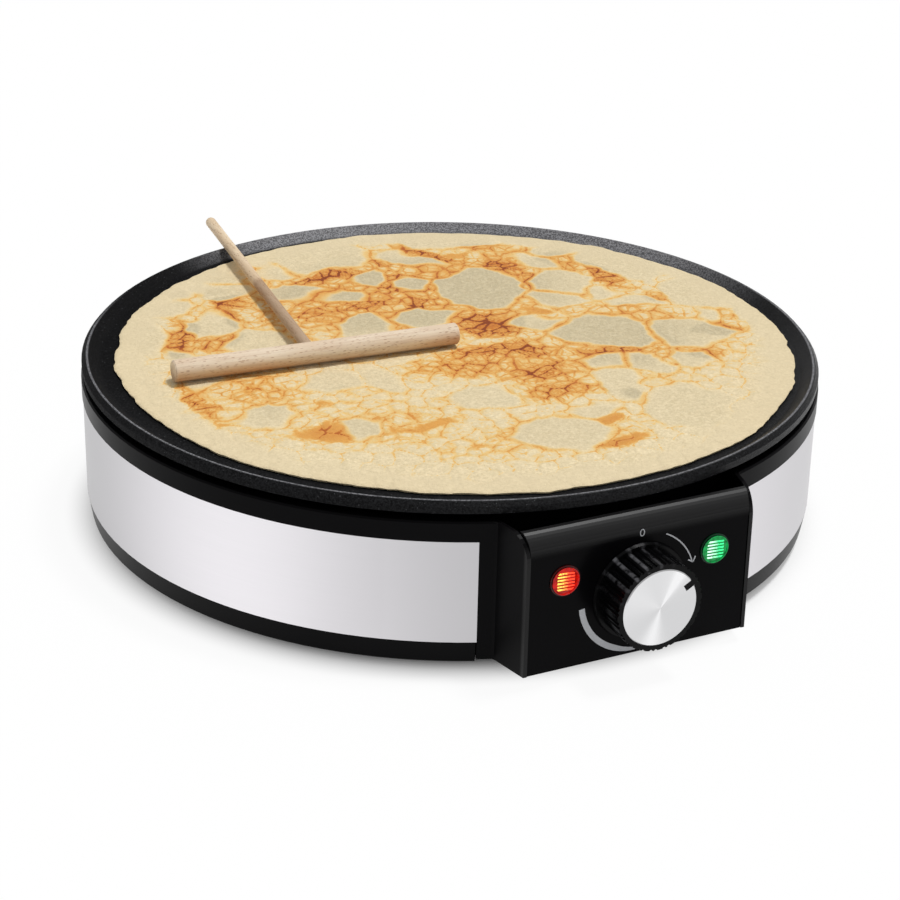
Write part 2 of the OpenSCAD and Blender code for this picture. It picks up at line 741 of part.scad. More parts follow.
module rubber_feet() {
    edge = 1.5;
    barb = 0.8;
    color("#141415") for (a = foot_angles) polar(foot_at, a) rotate_extrude() polygon(concat(
        [[0, 0], [foot_r - edge, 0]], arc([foot_r - edge, edge], edge, -90, 0, 4),
        [[foot_r - 0.5, foot_h], [foot_stem_r, foot_h], [foot_stem_r, foot_h + wall_t],
        [foot_stem_r + barb, foot_h + wall_t], [foot_stem_r - barb, foot_h + wall_t + 2],
        [0, foot_h + wall_t + 2]]));
}

// ---------------------------------------------------------------- the control panel

function panel_lug_x() = box_half(y_panel_in, cheek_t) - panel_lug[0] / 2 - 2;
function panel_lug_y() = y_panel_in + fit + panel_lug[1] / 2;

// The panel's section: upright, then curved back to a flat rim along the top
module panel_profile() {
    c = [y_panel + panel_r, z_ring];
    turn = asin(ring_h / panel_r);
    turn_in = asin((ring_h - panel_t) / (panel_r - panel_t));
    front_end = c[0] - panel_r * cos(turn);
    polygon(concat(
        [[y_panel_in, z_base], [y_panel, z_base]],
        arc(c, panel_r, 180, 180 - turn, 8),
        [[front_end + panel_rim, z_top], [front_end + panel_rim, z_top - panel_t]],
        arc(c, panel_r - panel_t, 180 - turn_in, 180, 8)));
}

module control_panel() {
    color("#141517") difference() {
        union() {
            intersection() {
                box_block(cheek_t + panel_play, y_front, box_back, z_base, z_top);
                along_x(2 * box_w) panel_profile();
            }
            // lugs that are screwed to the base from below
            for (s = [-1, 1]) translate([s * panel_lug_x() - panel_lug[0] / 2, y_panel_in - 1, z_floor_in])
                cube([panel_lug[0], panel_lug[1] + 1 + fit, panel_lug[2]]);
        }
        forward(0, z_knob, y_panel_in + eps, y_panel - eps, panel_hole_r);
        for (s = [-1, 1]) {
            forward(s * lamp_pitch / 2, z_lamp, y_panel_in + eps, y_panel - eps, barrel_r + barrel_play);
            forward(s * fix_pitch / 2, z_knob, y_panel_in + eps, y_panel - eps, fix_r + fit);
            translate([s * fix_pitch / 2, y_panel - eps, z_knob]) rotate([-90, 0, 0])
                cylinder(r1 = fix_head_r + fit, r2 = fix_r + fit, h = fix_head_r - fix_r);
            translate([s * panel_lug_x(), panel_lug_y(), z_floor_in - eps])
                cylinder(r = panel_screw_r + thread_play, h = panel_lug[2] - 1);
        }
    }
}

module panel_screws() {
    color("#8f9194") for (s = [-1, 1])
        translate([s * panel_lug_x(), panel_lug_y(), z_base + panel_screw_head_h])
            screw_up(panel_screw_r, wall_t - panel_screw_head_h + panel_lug[2] - 2,
                panel_screw_head_r, panel_screw_head_h);
}

// A pilot lamp's lens: a thin flange, a low dome and a hollow barrel through the panel
module lens(x) {
    dome_r = lens_r - 0.5;
    edge = 0.4;
    translate([x, y_panel, z_lamp]) rotate([90, 0, 0]) rotate_extrude($fn = 64) polygon(concat(
        [[0, 0], [barrel_r - lens_wall, 0], [barrel_r - lens_wall, -barrel_l - panel_t],
        [barrel_r, -barrel_l - panel_t], [barrel_r, 0],
        [lens_r, 0], [lens_r, lens_flange_t], [dome_r, lens_flange_t + 0.2]],
        arc([dome_r - edge, lens_h - edge], edge, 0, 90, 4), [[0, lens_h]]));
}

module red_lens() {
    color("#d3202c") lens(-lamp_pitch / 2);
}

module green_lens() {
    color("#1fbf6a") lens(lamp_pitch / 2);
}

module lens_nuts() {
    color("#d9dadb") for (s = [-1, 1]) translate([s * lamp_pitch / 2, y_panel_in, z_lamp])
        rotate([-90, 0, 0]) tube(barrel_r + nut_ring_w, barrel_r + thread_play, nut_ring_t);
}

// A neon lamp inside a lens
module neon(x) {
    translate([x, y_panel_in + barrel_l - neon_l - 1, z_lamp]) rotate([-90, 0, 0]) {
        cylinder(r = neon_r, h = neon_l);
        sphere(r = neon_r);
    }
}

module red_lamp() {
    color("#ffb08a") neon(-lamp_pitch / 2);
}

module green_lamp() {
    color("#a8ffcf") neon(lamp_pitch / 2);
}

module lamp_holders() {
    color("#e8e4da") for (s = [-1, 1]) translate([s * lamp_pitch / 2, y_panel_in + barrel_l - 1, z_lamp])
        rotate([-90, 0, 0]) {
            cylinder(r = barrel_r - lens_wall - fit, h = 1);
            translate([0, 0, 1]) cylinder(r = barrel_r, h = holder_l - 2);
        }
}

// ---------------------------------------------------------------- the thermostat and the knob

module thermostat_case() {
    color("#cfc9b8") difference() {
        union() {
            translate([-case_w / 2, y_panel_in + bracket_t, z_knob - case_w / 2])
                cube([case_w, case_d, case_w]);
            forward(0, z_knob, y_panel_in + bracket_t + 1, y_panel, bush_r);
            for (s = [-1, 1]) translate([s * tab_x - tab[0] / 2, y_case - 1, z_knob - tab_drop - tab[2] / 2])
                cube([tab[0], tab[1] + 1, tab[2]]);
        }
        forward(0, z_knob, y_panel_in + bracket_t + spindle_in + fit, y_panel - eps,
            spindle_r + spindle_play);
        for (s = [-1, 1])
            forward(s * fix_pitch / 2, z_knob, y_panel_in + bracket_t + 8, y_panel_in, fix_r + thread_play);
    }
}

module thermostat_bracket() {
    side = 5;
    color("#b5b7b9") difference() {
        translate([-case_w / 2 - side, y_panel_in, z_knob - case_w / 2 + 2])
            cube([case_w + 2 * side, bracket_t, case_w - 4]);
        forward(0, z_knob, y_panel_in + bracket_t + eps, y_panel_in - eps, bush_r + fit);
        for (s = [-1, 1])
            forward(s * fix_pitch / 2, z_knob, y_panel_in + bracket_t + eps, y_panel_in - eps, fix_r + fit);
    }
}

module thermostat_screws() {
    color("#c9cacc") for (s = [-1, 1]) translate([s * fix_pitch / 2, y_panel, z_knob]) rotate([-90, 0, 0])
        difference() {
            union() {
                cylinder(r1 = fix_head_r, r2 = fix_r, h = fix_head_r - fix_r);
                cylinder(r = fix_r, h = panel_t + bracket_t + 7);
            }
            for (a = [0, 90]) rotate([0, 0, a])
                translate([-fix_head_r * 0.6, -slot_w / 2, -eps]) cube([fix_head_r * 1.2, slot_w, 1]);
        }
}

module spindle_section(r) {
    difference() {
        circle(r = r, $fn = 48);
        translate([-r, r - spindle_flat]) square([2 * r, 2 * r]);
    }
}

module thermostat_spindle() {
    y_end = y_knob_front + knob_face_t + fit;
    y_in = y_panel_in + bracket_t + spindle_in;
    color("#9b8a5a") translate([0, 0, z_knob]) rotate([0, knob_rest, 0]) {
        translate([0, y_in, 0]) rotate([90, 0, 0]) cylinder(r = spindle_r, h = y_in - y_panel);
        translate([0, y_panel, 0]) rotate([90, 0, 0])
            linear_extrude(y_panel - y_end) spindle_section(spindle_r);
    }
}

// The ribbed outline of the knob: wide ribs with a narrow one between each two
module knob_outline() {
    difference() {
        circle(r = knob_r);
        for (i = [0:knob_ribs - 1]) for (s = [-1, 1]) rotate(360 * i / knob_ribs + s * notch_half)
            translate([knob_r + notch_r * 0.3, 0]) circle(r = notch_r, $fn = 24);
    }
}

// Turned so that its pointer stands at the rest angle; +Z here points away from the panel
module knob_frame() {
    translate([0, y_knob_back, z_knob]) rotate([0, knob_rest, 0]) rotate([90, 0, 0]) children();
}

module knob_body() {
    color("#0f1011") knob_frame() difference() {
        union() {
            cylinder(r1 = skirt_r, r2 = skirt_r - 0.5, h = skirt_t);
            linear_extrude(knob_len - cap_t + cap_seat) knob_outline();
            // the pointer bar that fills the cap's notch
            translate([-pointer_w / 2 + fit, cap_r - pointer_l + fit, 0])
                cube([pointer_w - 2 * fit, pointer_l + 0.4, knob_len - 0.3]);
        }
        // the hollow behind the face, around the hub
        translate([0, 0, -eps]) difference() {
            cylinder(r = knob_r - knob_shell - notch_r, h = knob_len - knob_face_t - cap_t);
            translate([0, 0, -eps]) cylinder(r = hub_r, h = knob_len);
        }
        // the seat of the cap, around the pointer bar
        translate([0, 0, knob_len - cap_t]) difference() {
            cylinder(r = cap_r + fit, h = cap_t + cut);
            translate([-pointer_w / 2 + fit, cap_r - pointer_l + fit, -eps])
                cube([pointer_w - 2 * fit, pointer_l + cut, cap_t + 2 * cut]);
        }
        // the bore of the spindle
        translate([0, 0, -eps]) linear_extrude(knob_len - knob_face_t + eps)
            spindle_section(spindle_r + 0.02);
    }
}

module knob_cap() {
    bevel = 0.4;
    color("#d7d9dc") knob_frame() translate([0, 0, knob_len - cap_t]) difference() {
        rotate_extrude() polygon([
            [0, 0], [cap_r, 0], [cap_r, cap_t - bevel], [cap_r - bevel, cap_t], [0, cap_t]]);
        translate([-pointer_w / 2, cap_r - pointer_l, -eps]) cube([pointer_w, pointer_l + cut, cap_t + cut]);
    }
}

// ---------------------------------------------------------------- wiring and the cord entry

module capillary_tube() {
    color("#b87a4b") wire(capillary_route, lead_d * 0.7);
}

module terminal_block() {
    base_w = 3;
    color("#e6e1d2") difference() {
        translate([block_at[0] - block[0] / 2, block_at[1] - block[1] / 2, z_floor_in]) cube(block);
        for (i = [-1:1]) translate([block_at[0] + i * way_pitch, block_at[1] + block[1] / 2 + eps, z_way])
            rotate([90, 0, 0]) cylinder(r = block_way_r, h = block[1] / 2 - base_w);
        for (i = [-0.5, 0.5]) translate([block_at[0] + i * way_pitch - 0.6, block_y - eps, z_way])
            cube([1.2, block[1] + 2 * eps, block[2]]);
        translate([block_at[0], block_at[1], z_floor_in]) {
            translate([0, 0, -eps]) cylinder(r = block_screw_r + fit, h = block[2]);
            translate([0, 0, 4]) cylinder(r = block_screw_head_r + fit, h = block[2]);
        }
    }
}

module block_screw() {
    color("#c9cacc") translate([block_at[0], block_at[1], z_floor_in + 4]) mirror([0, 0, 1])
        screw_up(block_screw_r, 4 + wall_t - 0.5, block_screw_head_r, block_screw_head_h);
}

module earth_screw() {
    color("#c8a84e") translate([earth_at[0], earth_at[1], 0]) {
        translate([0, 0, z_shield - earth_tag_t]) tube(earth_tag_r, earth_r + fit, earth_tag_t);
        translate([0, 0, z_shield - earth_tag_t])
            screw_up(earth_r, shield_t + earth_tag_t + 4, earth_head_r, earth_head_h);
        translate([0, 0, z_shield + shield_t]) tube(earth_head_r, earth_r + thread_play, 2);
    }
}

module live_wire() {
    color("#7a4a2c") wire(live_route, wire_d);
}

module neutral_wire() {
    color("#2f5fa8") wire(neutral_route, wire_d);
}

module earth_wire() {
    color("#6fae3c") wire(earth_route, wire_d);
}

module heater_wire() {
    color("#e4e2dc") wire(heater_route, wire_d);
}

// One lead from each lamp to the thermostat
module lamp_wires() {
    color("#c9c6bd") for (s = [-1, 1]) wire([
        [s * lamp_pitch / 2, lamp_back, z_lamp], [s * lamp_pitch / 2, lamp_back + 6, z_lamp - 1],
        [s * 24, y_case + 8, z_knob + 6], [s * 12, y_case + 5, z_knob + 3],
        [s * 10, y_case + lead_off, z_knob + 2]], lead_d);
}

// The grommet where the mains cord enters, at the back of the drum
module cord_gland() {
    color("#121314") translate([0, body_r, z_gland]) rotate([-90, 0, 0]) difference() {
        union() {
            rotate_extrude($fn = 64) polygon([
                [0, 0], [gland_flange_r, 0], [gland_flange_r, gland_flange_t - 1],
                [gland_flange_r - 1, gland_flange_t], [gland_bore_r + 2, gland_flange_t + 2],
                [0, gland_flange_t + 2]]);
            translate([0, 0, gland_flange_t - gland_len]) cylinder(r = gland_r, h = gland_len);
        }
        translate([0, 0, -gland_len]) cylinder(r = gland_bore_r, h = 2 * gland_len);
    }
}

module gland_nut() {
    y_nut = skirt_in_r * cos(asin((gland_r + 3) / skirt_in_r)) - 0.2;
    color("#1d1e20") translate([0, y_nut, z_gland]) rotate([90, 0, 0]) difference() {
        cylinder(r = gland_r + 3, h = gland_nut_t, $fn = 6);
        translate([0, 0, -eps]) cylinder(r = gland_r + thread_play, h = gland_nut_t + 2 * eps);
    }
}

// ---------------------------------------------------------------- what lies on the plate

module crepe() {
    color("#e2c489") translate([crepe_x, 0, z_cook]) cylinder(r = crepe_r, h = crepe_t, $fn = 120);
}

module spreader_frame() {
    translate([head_x, head_y, z_head]) rotate([0, 0, head_turn]) children();
}

module spreader_head() {
    bevel = 0.6;
    color("#dcc3a3") spreader_frame() difference() {
        translate([-head_l / 2, 0, 0]) rotate([0, 90, 0]) rotate_extrude() polygon([
            [0, 0], [head_d / 2 - bevel, 0], [head_d / 2, bevel], [head_d / 2, head_l - bevel],
            [head_d / 2 - bevel, head_l], [0, head_l]]);
        translate([handle_shift, 0, 0]) rotate([0, 0, handle_lean - 90])
            translate([0, head_d / 2 - socket_depth, 0]) rotate([-90, 0, 0])
                cylinder(r = handle_d / 2 + 0.02, h = head_d);
    }
}

module spreader_handle() {
    color("#e0c8aa") spreader_frame() translate([handle_shift, 0, 0]) rotate([0, 0, handle_lean - 90])
        translate([0, head_d / 2 - socket_depth + 0.1, 0]) rotate([-90, 0, 0]) {
            cylinder(r = handle_d / 2, h = handle_l - handle_d / 2 - head_d / 2 + socket_depth);
            translate([0, 0, handle_l - handle_d / 2 - head_d / 2 + socket_depth]) sphere(r = handle_d / 2);
        }
}

hot_plate();
heating_element();
element_clips();
clip_screws();
heat_shield();
plate_studs();
stud_spacers();
stud_nuts();
upper_housing();
steel_band();
base_pan();
base_screws();
rubber_feet();
control_panel();
panel_screws();
red_lens();
green_lens();
lens_nuts();
red_lamp();
green_lamp();
lamp_holders();
thermostat_case();
thermostat_bracket();
thermostat_screws();
thermostat_spindle();
knob_body();
knob_cap();
capillary_tube();
sensor_bulb();
bulb_clip();
thermal_fuse();
fuse_clip();
terminal_block();
block_screw();
earth_screw();
live_wire();
neutral_wire();
earth_wire();
heater_wire();
lamp_wires();
cord_gland();
gland_nut();
crepe();
spreader_head();
spreader_handle();
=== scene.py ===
# %% [markdown]
# # An electric crepe maker
# A cast hot plate on a low drum, a control box in front with a dial and two pilot lamps, and on the plate
# a crepe and a wooden spreader. The hard parts come ready-made in a fixed frame, in metres, and only need
# finishes. What CAD can't give well is modelled here: the crepe, the lamps' prisms and the printed marks.

# %% Load the frame
import math

import bmesh
import bpy
import numpy as np
from mathutils import Matrix, Vector, noise


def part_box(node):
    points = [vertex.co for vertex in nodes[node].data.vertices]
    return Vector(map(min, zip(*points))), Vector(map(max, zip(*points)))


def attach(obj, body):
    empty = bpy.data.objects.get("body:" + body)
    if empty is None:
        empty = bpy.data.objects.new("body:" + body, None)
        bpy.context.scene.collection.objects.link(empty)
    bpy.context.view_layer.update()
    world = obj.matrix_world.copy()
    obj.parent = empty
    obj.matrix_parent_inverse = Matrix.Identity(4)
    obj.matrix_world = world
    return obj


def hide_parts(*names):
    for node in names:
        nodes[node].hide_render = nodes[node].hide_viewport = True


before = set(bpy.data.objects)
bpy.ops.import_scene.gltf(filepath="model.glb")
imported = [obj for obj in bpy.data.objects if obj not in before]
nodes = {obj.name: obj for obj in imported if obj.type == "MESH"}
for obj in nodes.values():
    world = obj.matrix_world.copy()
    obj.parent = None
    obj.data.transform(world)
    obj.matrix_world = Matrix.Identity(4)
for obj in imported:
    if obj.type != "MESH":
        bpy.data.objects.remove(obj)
scene = bpy.context.scene
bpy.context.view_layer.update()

# %% [markdown]
# ## The camera
# It stands a metre away, a little above the plate and left of the control box, and is turned slightly about
# its own axis. A long lens keeps the round plate from stretching towards its edge.

# %% Set up the camera
camera_at = Vector((-0.43538, -0.87303, 0.47202))
looks_at = Vector((-0.03351, -0.06882, 0.05720))
camera_roll = math.radians(1.256)
focal_length, sensor_width = 96.2, 36.0     # both in millimetres

camera_data = bpy.data.cameras.new("camera")
camera_data.lens, camera_data.sensor_width = focal_length, sensor_width
camera = bpy.data.objects.new("camera", camera_data)
turned = (looks_at - camera_at).to_track_quat("-Z", "Y").to_matrix().to_4x4()
camera.matrix_world = Matrix.Translation(camera_at) @ turned @ Matrix.Rotation(camera_roll, 4, "Z")
scene.collection.objects.link(camera)
scene.camera = camera
print("camera distance in mm:", round((camera_at - looks_at).length * 1000))

# %% [markdown]
# ## A way to write materials
# A material is a graph of nodes, and sums are easier to read than graphs. `Socket` wraps an output of a
# node and adds a Math node at every operator. `Graph` is a tree of nodes, and its `node` method makes any
# other node from its type, its settings and the values of its sockets. `Finish` is the graph of one
# material. It reads positions in millimetres in the object's own frame, so every pattern has a real size.

# %% Sockets that take part in sums
def by_math_node(operation, swapped=False):
    """A method that sends a socket and any other values through a Math node."""
    def method(*values):
        return values[0].maths(operation, *(values[::-1] if swapped else values))
    return method


class Socket:
    def __init__(self, graph, socket):
        self.graph, self.socket = graph, socket

    def maths(self, operation, *values, clamp=False):
        return self.graph.node("ShaderNodeMath", dict(enumerate(values)),
                               operation=operation, use_clamp=clamp)("Value")

    __add__ = __radd__ = by_math_node("ADD")
    __sub__, __rsub__ = by_math_node("SUBTRACT"), by_math_node("SUBTRACT", swapped=True)
    __mul__ = __rmul__ = by_math_node("MULTIPLY")
    __truediv__, __pow__ = by_math_node("DIVIDE"), by_math_node("POWER")
    larger, sine, power_of_e = map(by_math_node, ("MAXIMUM", "SINE", "EXPONENT"))

    def limit(self):
        return self.maths("ADD", self, 0.0, clamp=True)

    def between(self, low, high):
        """0 up to low, 1 from high, and a smooth step in between."""
        return self.graph.node("ShaderNodeMapRange", {"Value": self, "From Min": low, "From Max": high},
                               interpolation_type="SMOOTHSTEP")("Result")

    def within(self, low, full, fading, gone):
        """1 from full to fading, and 0 below low and above gone."""
        return self.between(low, full) * (1 - self.between(fading, gone))


# %% A graph of nodes
class Graph:
    def __init__(self, tree):
        self.tree = tree

    def node(self, kind, values=None, **settings):
        """Adds a node, sets its settings, then its sockets. The result gives its outputs by name."""
        made = self.tree.nodes.new(kind)
        for key, value in settings.items():
            if key == "stops":
                ramp = made.color_ramp.elements
                while len(ramp) < len(value):
                    ramp.new(0.5)
                for stop, (at, tone) in zip(ramp, value):
                    stop.position, stop.color = at, tone
            else:
                setattr(made, key, value)
        for key, value in (values or {}).items():
            if isinstance(value, Socket):
                self.tree.links.new(value.socket, made.inputs[key])
            else:
                made.inputs[key].default_value = value
        return lambda name: Socket(self, made.outputs[name])


# %% [markdown]
# Colours are written as they look on a screen, from 0 to 255, and turned into light levels once.

# %% Colours
def rgb(red, green, blue):
    def light(value):
        value /= 255
        return value / 12.92 if value <= 0.04045 else ((value + 0.055) / 1.055) ** 2.4
    return (light(red), light(green), light(blue), 1.0)


# %% A finish
class Finish(Graph):
    def __init__(self, name, **constants):
        self.material = bpy.data.materials.new(name)
        self.material.use_nodes = True
        super().__init__(self.material.node_tree)
        self.shader = self.tree.nodes["Principled BSDF"]
        for socket, value in constants.items():
            self.set(socket.replace("_", " "), value)
        self.mm = self.stretched(1000, 1000, 1000, self.node("ShaderNodeTexCoord")("Object"))

    def set(self, socket, value):
        if isinstance(value, Socket):
            self.tree.links.new(value.socket, self.shader.inputs[socket])
        else:
            self.shader.inputs[socket].default_value = value

    def vector(self, operation, first, second):
        return self.node("ShaderNodeVectorMath", {0: first, 1: second}, operation=operation)("Vector")

    def stretched(self, x, y, z, at=None):
        return self.vector("MULTIPLY", at or self.mm, (x, y, z))

    def parts(self, at=None):
        made = self.node("ShaderNodeSeparateXYZ", {0: at or self.mm})
        return made("X"), made("Y"), made("Z")

    def from_middle_of(self, node):
        """X, Y and Z in millimetres from the middle of a CAD node's box."""
        low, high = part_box(node)
        return self.parts(self.vector("SUBTRACT", self.mm, (low + high) / 2 * 1000))

    def noise(self, size, detail=2.0, roughness=0.5, at=None):
        """Soft random patches about `size` millimetres across, from 0 to 1."""
        return self.node("ShaderNodeTexNoise", {"Vector": at or self.mm, "Scale": 1 / size,
                                                "Detail": detail, "Roughness": roughness})("Fac")

    def cells(self, size, at=None):
        """Distance to the middle of the nearest of many random cells, in sizes of a cell."""
        return self.node("ShaderNodeTexVoronoi", {"Vector": at or self.mm, "Scale": 1 / size})("Distance")

    def mix(self, share, first, second):
        return self.node("ShaderNodeMix", {0: share, 6: first, 7: second}, data_type="RGBA")(2)

    def bump(self, height, depth, strength=1.0):
        """Normal of a surface whose height runs from 0 to 1 over `depth` millimetres."""
        values = {"Height": height, "Distance": depth / 1000, "Strength": strength}
        self.set("Normal", self.node("ShaderNodeBump", values)("Normal"))


print("tools ready: Socket, Graph and Finish")

# %% [markdown]
# ## Light
# A pale sky lights everything evenly, and a soft sun from above and the right adds the shadow that the
# spreader throws. Together they light a level white surface to just about white, so colours render as
# they are written. Seen directly or through glass, the sky is pure white: the plain backdrop.

# %% Sky
scene.view_settings.view_transform = "Standard"
sky_strength, backdrop_strength = 0.42, 1.0
white = (1, 1, 1, 1)

world = bpy.data.worlds.new("sky")
scene.world = world
world.use_nodes = True
world.node_tree.nodes.clear()
sky = Graph(world.node_tree)
path = sky.node("ShaderNodeLightPath")
strength = sky.node("ShaderNodeMapRange", {
    "Value": path("Is Camera Ray").larger(path("Is Transmission Ray")),
    "To Min": sky_strength, "To Max": backdrop_strength})("Result")
backdrop = sky.node("ShaderNodeBackground", {"Color": white, "Strength": strength})("Background")
sky.node("ShaderNodeOutputWorld", {"Surface": backdrop})
print("sky nodes:", len(sky.tree.nodes))

# %% Sun
sun_strength = 1.95
sun_from = Vector((0.24, 0.00, 0.77))
sun_width = math.radians(11)

sun_data = bpy.data.lights.new("sun", "SUN")
sun_data.energy, sun_data.angle = sun_strength, sun_width
sun = bpy.data.objects.new("sun", sun_data)
sun.matrix_world = sun_from.to_track_quat("Z", "Y").to_matrix().to_4x4()
scene.collection.objects.link(sun)
level = sky_strength + sun_strength * sun_from.normalized().z / math.pi
print("brightness of a level white surface:", round(level, 3))

# %% [markdown]
# ## Finishes for the CAD nodes
# `dress` puts a finish on CAD nodes. It prints which ones, so that none is forgotten.

# %% Dress CAD nodes
undressed = set(nodes)


def dress(finish, *names):
    for name in names:
        mesh = nodes[name].data
        mesh.materials.clear()
        mesh.materials.append(finish.material)
        undressed.discard(name)
    print(finish.material.name, "->", ", ".join(names))


# %% [markdown]
# ## The plate's coating
# The plate is cast aluminium under a black non-stick coating. Noise gives its fine grain, and two layers of
# cells its small pale flecks. What differs round the plate is read from the distance to its axis: a painted
# grey sheen on the far slope of the rim, a pale speckle on the near side of the flat, and a painted
# highlight along the crest in front.

# %% Speckled non-stick coating
def speckled_coating():
    finish = Finish("speckled_coating", Specular_IOR_Level=0.10)
    fine = finish.noise(0.55, 3.0, 0.7)
    flecks = finish.cells(0.9)
    patch = finish.noise(9.0, 3.0)
    grain = fine.between(0.42, 0.72)
    fleck = (1 - flecks.between(0.10, 0.26)) * patch.between(0.3, 0.7)
    big_fleck = 1 - finish.cells(2.2).between(0.05, 0.11)
    base = finish.mix(grain, rgb(1, 1, 2), rgb(22, 22, 24))
    base = finish.mix(fleck * 0.5, base, rgb(70, 71, 74))
    base = finish.mix(big_fleck * 0.6, base, rgb(110, 111, 114))

    x, y, z = finish.parts()
    reach = (x * x + y * y) ** 0.5
    sparkle = finish.noise(0.8, 2.0, 0.8).between(0.40, 0.60)
    # painted sheen: a grey glint on the far slope of the rim, broken by sparkle
    far_side = (y + x * 0.9).between(60.0, 140.0) * y.between(-20.0, 80.0)
    painted_sheen = reach.within(150.6, 153.2, 158.6, 159.8) * far_side
    base = finish.mix(painted_sheen * (0.30 + sparkle * 0.70), base, rgb(148, 148, 152))
    # a pale speckle on the near side of the flat
    near_speckle = reach.between(143.0, 150.0) * (1 - y.between(-60.0, 60.0))
    base = finish.mix(near_speckle * sparkle * 0.10, base, rgb(96, 97, 100))
    # painted highlight: a thin pale line along the near crest
    crest_highlight = reach.within(156.9, 157.4, 157.8, 158.3) * (1 - (y + x * 0.3).between(20.0, 90.0))
    base = finish.mix(crest_highlight * (0.25 + sparkle * 0.55), base, rgb(150, 150, 154))
    finish.set("Base Color", base)

    rim = reach.between(150.0, 153.5)
    left = 1 - x.between(-110.0, 0.0)
    finish.set("Roughness", 0.42 + patch * 0.12 - grain * 0.08 - rim * 0.14 + left * 0.40)
    finish.bump(fine + flecks * 0.3, 0.16, 0.9)
    return finish


dress(speckled_coating(), "hot_plate")

# %% [markdown]
# ## Black mouldings
# The ring and the base have a satin grain; the panel and the dial are smoother. A slow change in roughness
# keeps large faces from looking computed. Deep black plastic mirrors little, so its specular level is low.
# Polished edges shine more, so a coat lies on the front edges of the cheeks and on the panel's curved top.

# %% Black plastics
def black_moulding(name, dark, light, roughness, grain, depth, level):
    finish = Finish(name, Specular_IOR_Level=level)
    slow = finish.noise(35.0, 2.0)
    finish.plain = finish.mix(slow, rgb(*dark), rgb(*light))
    finish.set("Base Color", finish.plain)
    finish.set("Roughness", roughness + slow * 0.08 - 0.04)
    finish.bump(finish.noise(grain, 2.0, 0.6), depth, 0.5)
    return finish


panel_low, panel_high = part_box("control_panel")
panel_top, panel_front = panel_high.z * 1000, panel_low.y * 1000

housing = black_moulding("satin_housing", (6, 6, 7), (11, 10, 12), 0.32, 0.7, 0.015, 0.05)
x, y, z = housing.parts()
housing.set("Coat Weight", (1 - (y - panel_front).between(0.4, 2.0)) * 0.35)
housing.set("Coat Roughness", 0.22)
dress(housing, "upper_housing")

base = black_moulding("satin_base", (6, 6, 7), (11, 10, 12), 0.34, 0.7, 0.015, 0.06)
dress(base, "base_pan")

panel = black_moulding("panel_gloss", (5, 5, 6), (10, 9, 11), 0.22, 0.9, 0.006, 0.04)
x, y, z = panel.parts()
panel.set("Coat Weight", z.between(panel_top - 10, panel_top - 2))
panel.set("Coat Roughness", 0.38)
dress(panel, "control_panel")

rubber = black_moulding("gland_rubber", (20, 20, 21), (25, 24, 26), 0.6, 0.5, 0.03, 0.16)
dress(rubber, "cord_gland", "gland_nut", "rubber_feet")

# %% [markdown]
# ## Humps of light
# Round things in soft light show broad stretches of light and shade, and `hump` paints one into a colour:
# the cosine of the angle between a point and a chosen direction is 1 where the point looks straight that
# way, and its exponential falls off smoothly on both sides.

# %% Hump
def hump(first, second, towards, narrow):
    """A soft hump from 0 to 1 round a direction, in degrees, in the plane of two coordinates."""
    turn = math.radians(towards)
    out = (first * first + second * second) ** 0.5
    facing = (first * math.cos(turn) + second * math.sin(turn)) / out
    return ((facing - 1) * narrow).power_of_e()


def humps(first, second, rows):
    """Several humps: rows of a direction in degrees, how narrow it is, and how strong."""
    return sum(hump(first, second, towards, narrow) * strong for towards, narrow, strong in rows).limit()


print("hump and humps ready")

# %% [markdown]
# ## The dial
# The upper flanks of the dial's ribs get painted highlights. A sine of the angle round the axis gives one
# stroke per rib, and a hump keeps them to the upper left.

# %% Dial
def ribbed_gloss():
    finish = black_moulding("knob_gloss", (5, 5, 6), (9, 9, 10), 0.24, 0.8, 0.006, 0.10)
    ribs, rib_phase, upper_left = 20, 1.2, 118
    x, y, z = finish.from_middle_of("knob_body")
    stroke = (z.maths("ARCTAN2", z, x) * ribs + rib_phase).sine().between(0.35, 1.05)
    side_only = ((x * x + z * z) ** 0.5).between(16.6, 17.2)
    # painted highlights on the ribs' upper flanks, one stroke per rib, broken up by noise
    highlight_breakup = finish.noise(3.0, 2.0).between(0.3, 0.6)
    painted_highlight = hump(x, z, upper_left, 9) * stroke * side_only * highlight_breakup
    finish.set("Base Color", finish.mix(painted_highlight * 0.7, finish.plain, rgb(112, 112, 116)))
    return finish


dress(ribbed_gloss(), "knob_body")

# %% [markdown]
# ## Metal
# The band is satin steel, brushed along its length: a pattern stretched level and tight in height. Four
# humps paint into its colour the broad upright bands of light and shade that a drum shows in a studio.

# %% Brushed band
def brushed_band():
    finish = Finish("brushed_band", Metallic=1.0)
    lines = finish.noise(1.0, 3.0, 0.7, at=finish.stretched(0.02, 0.02, 6.0))
    slow = finish.noise(60.0, 1.0)
    x, y, z = finish.parts()
    # painted light: broad upright bands of light and shade round the drum
    light = humps(x, y, ((-147, 10, 1.0), (-76, 12, 0.6), (-20, 4, 0.3), (70, 7, 0.8)))
    steel = finish.mix(light, rgb(176, 175, 177), rgb(251, 248, 252))
    finish.set("Base Color", finish.mix(lines * 0.25, steel, rgb(214, 213, 216)))
    finish.set("Roughness", 0.26 + lines * 0.10 + slow * 0.04)
    finish.bump(lines, 0.008, 0.3)
    return finish


dress(brushed_band(), "steel_band")
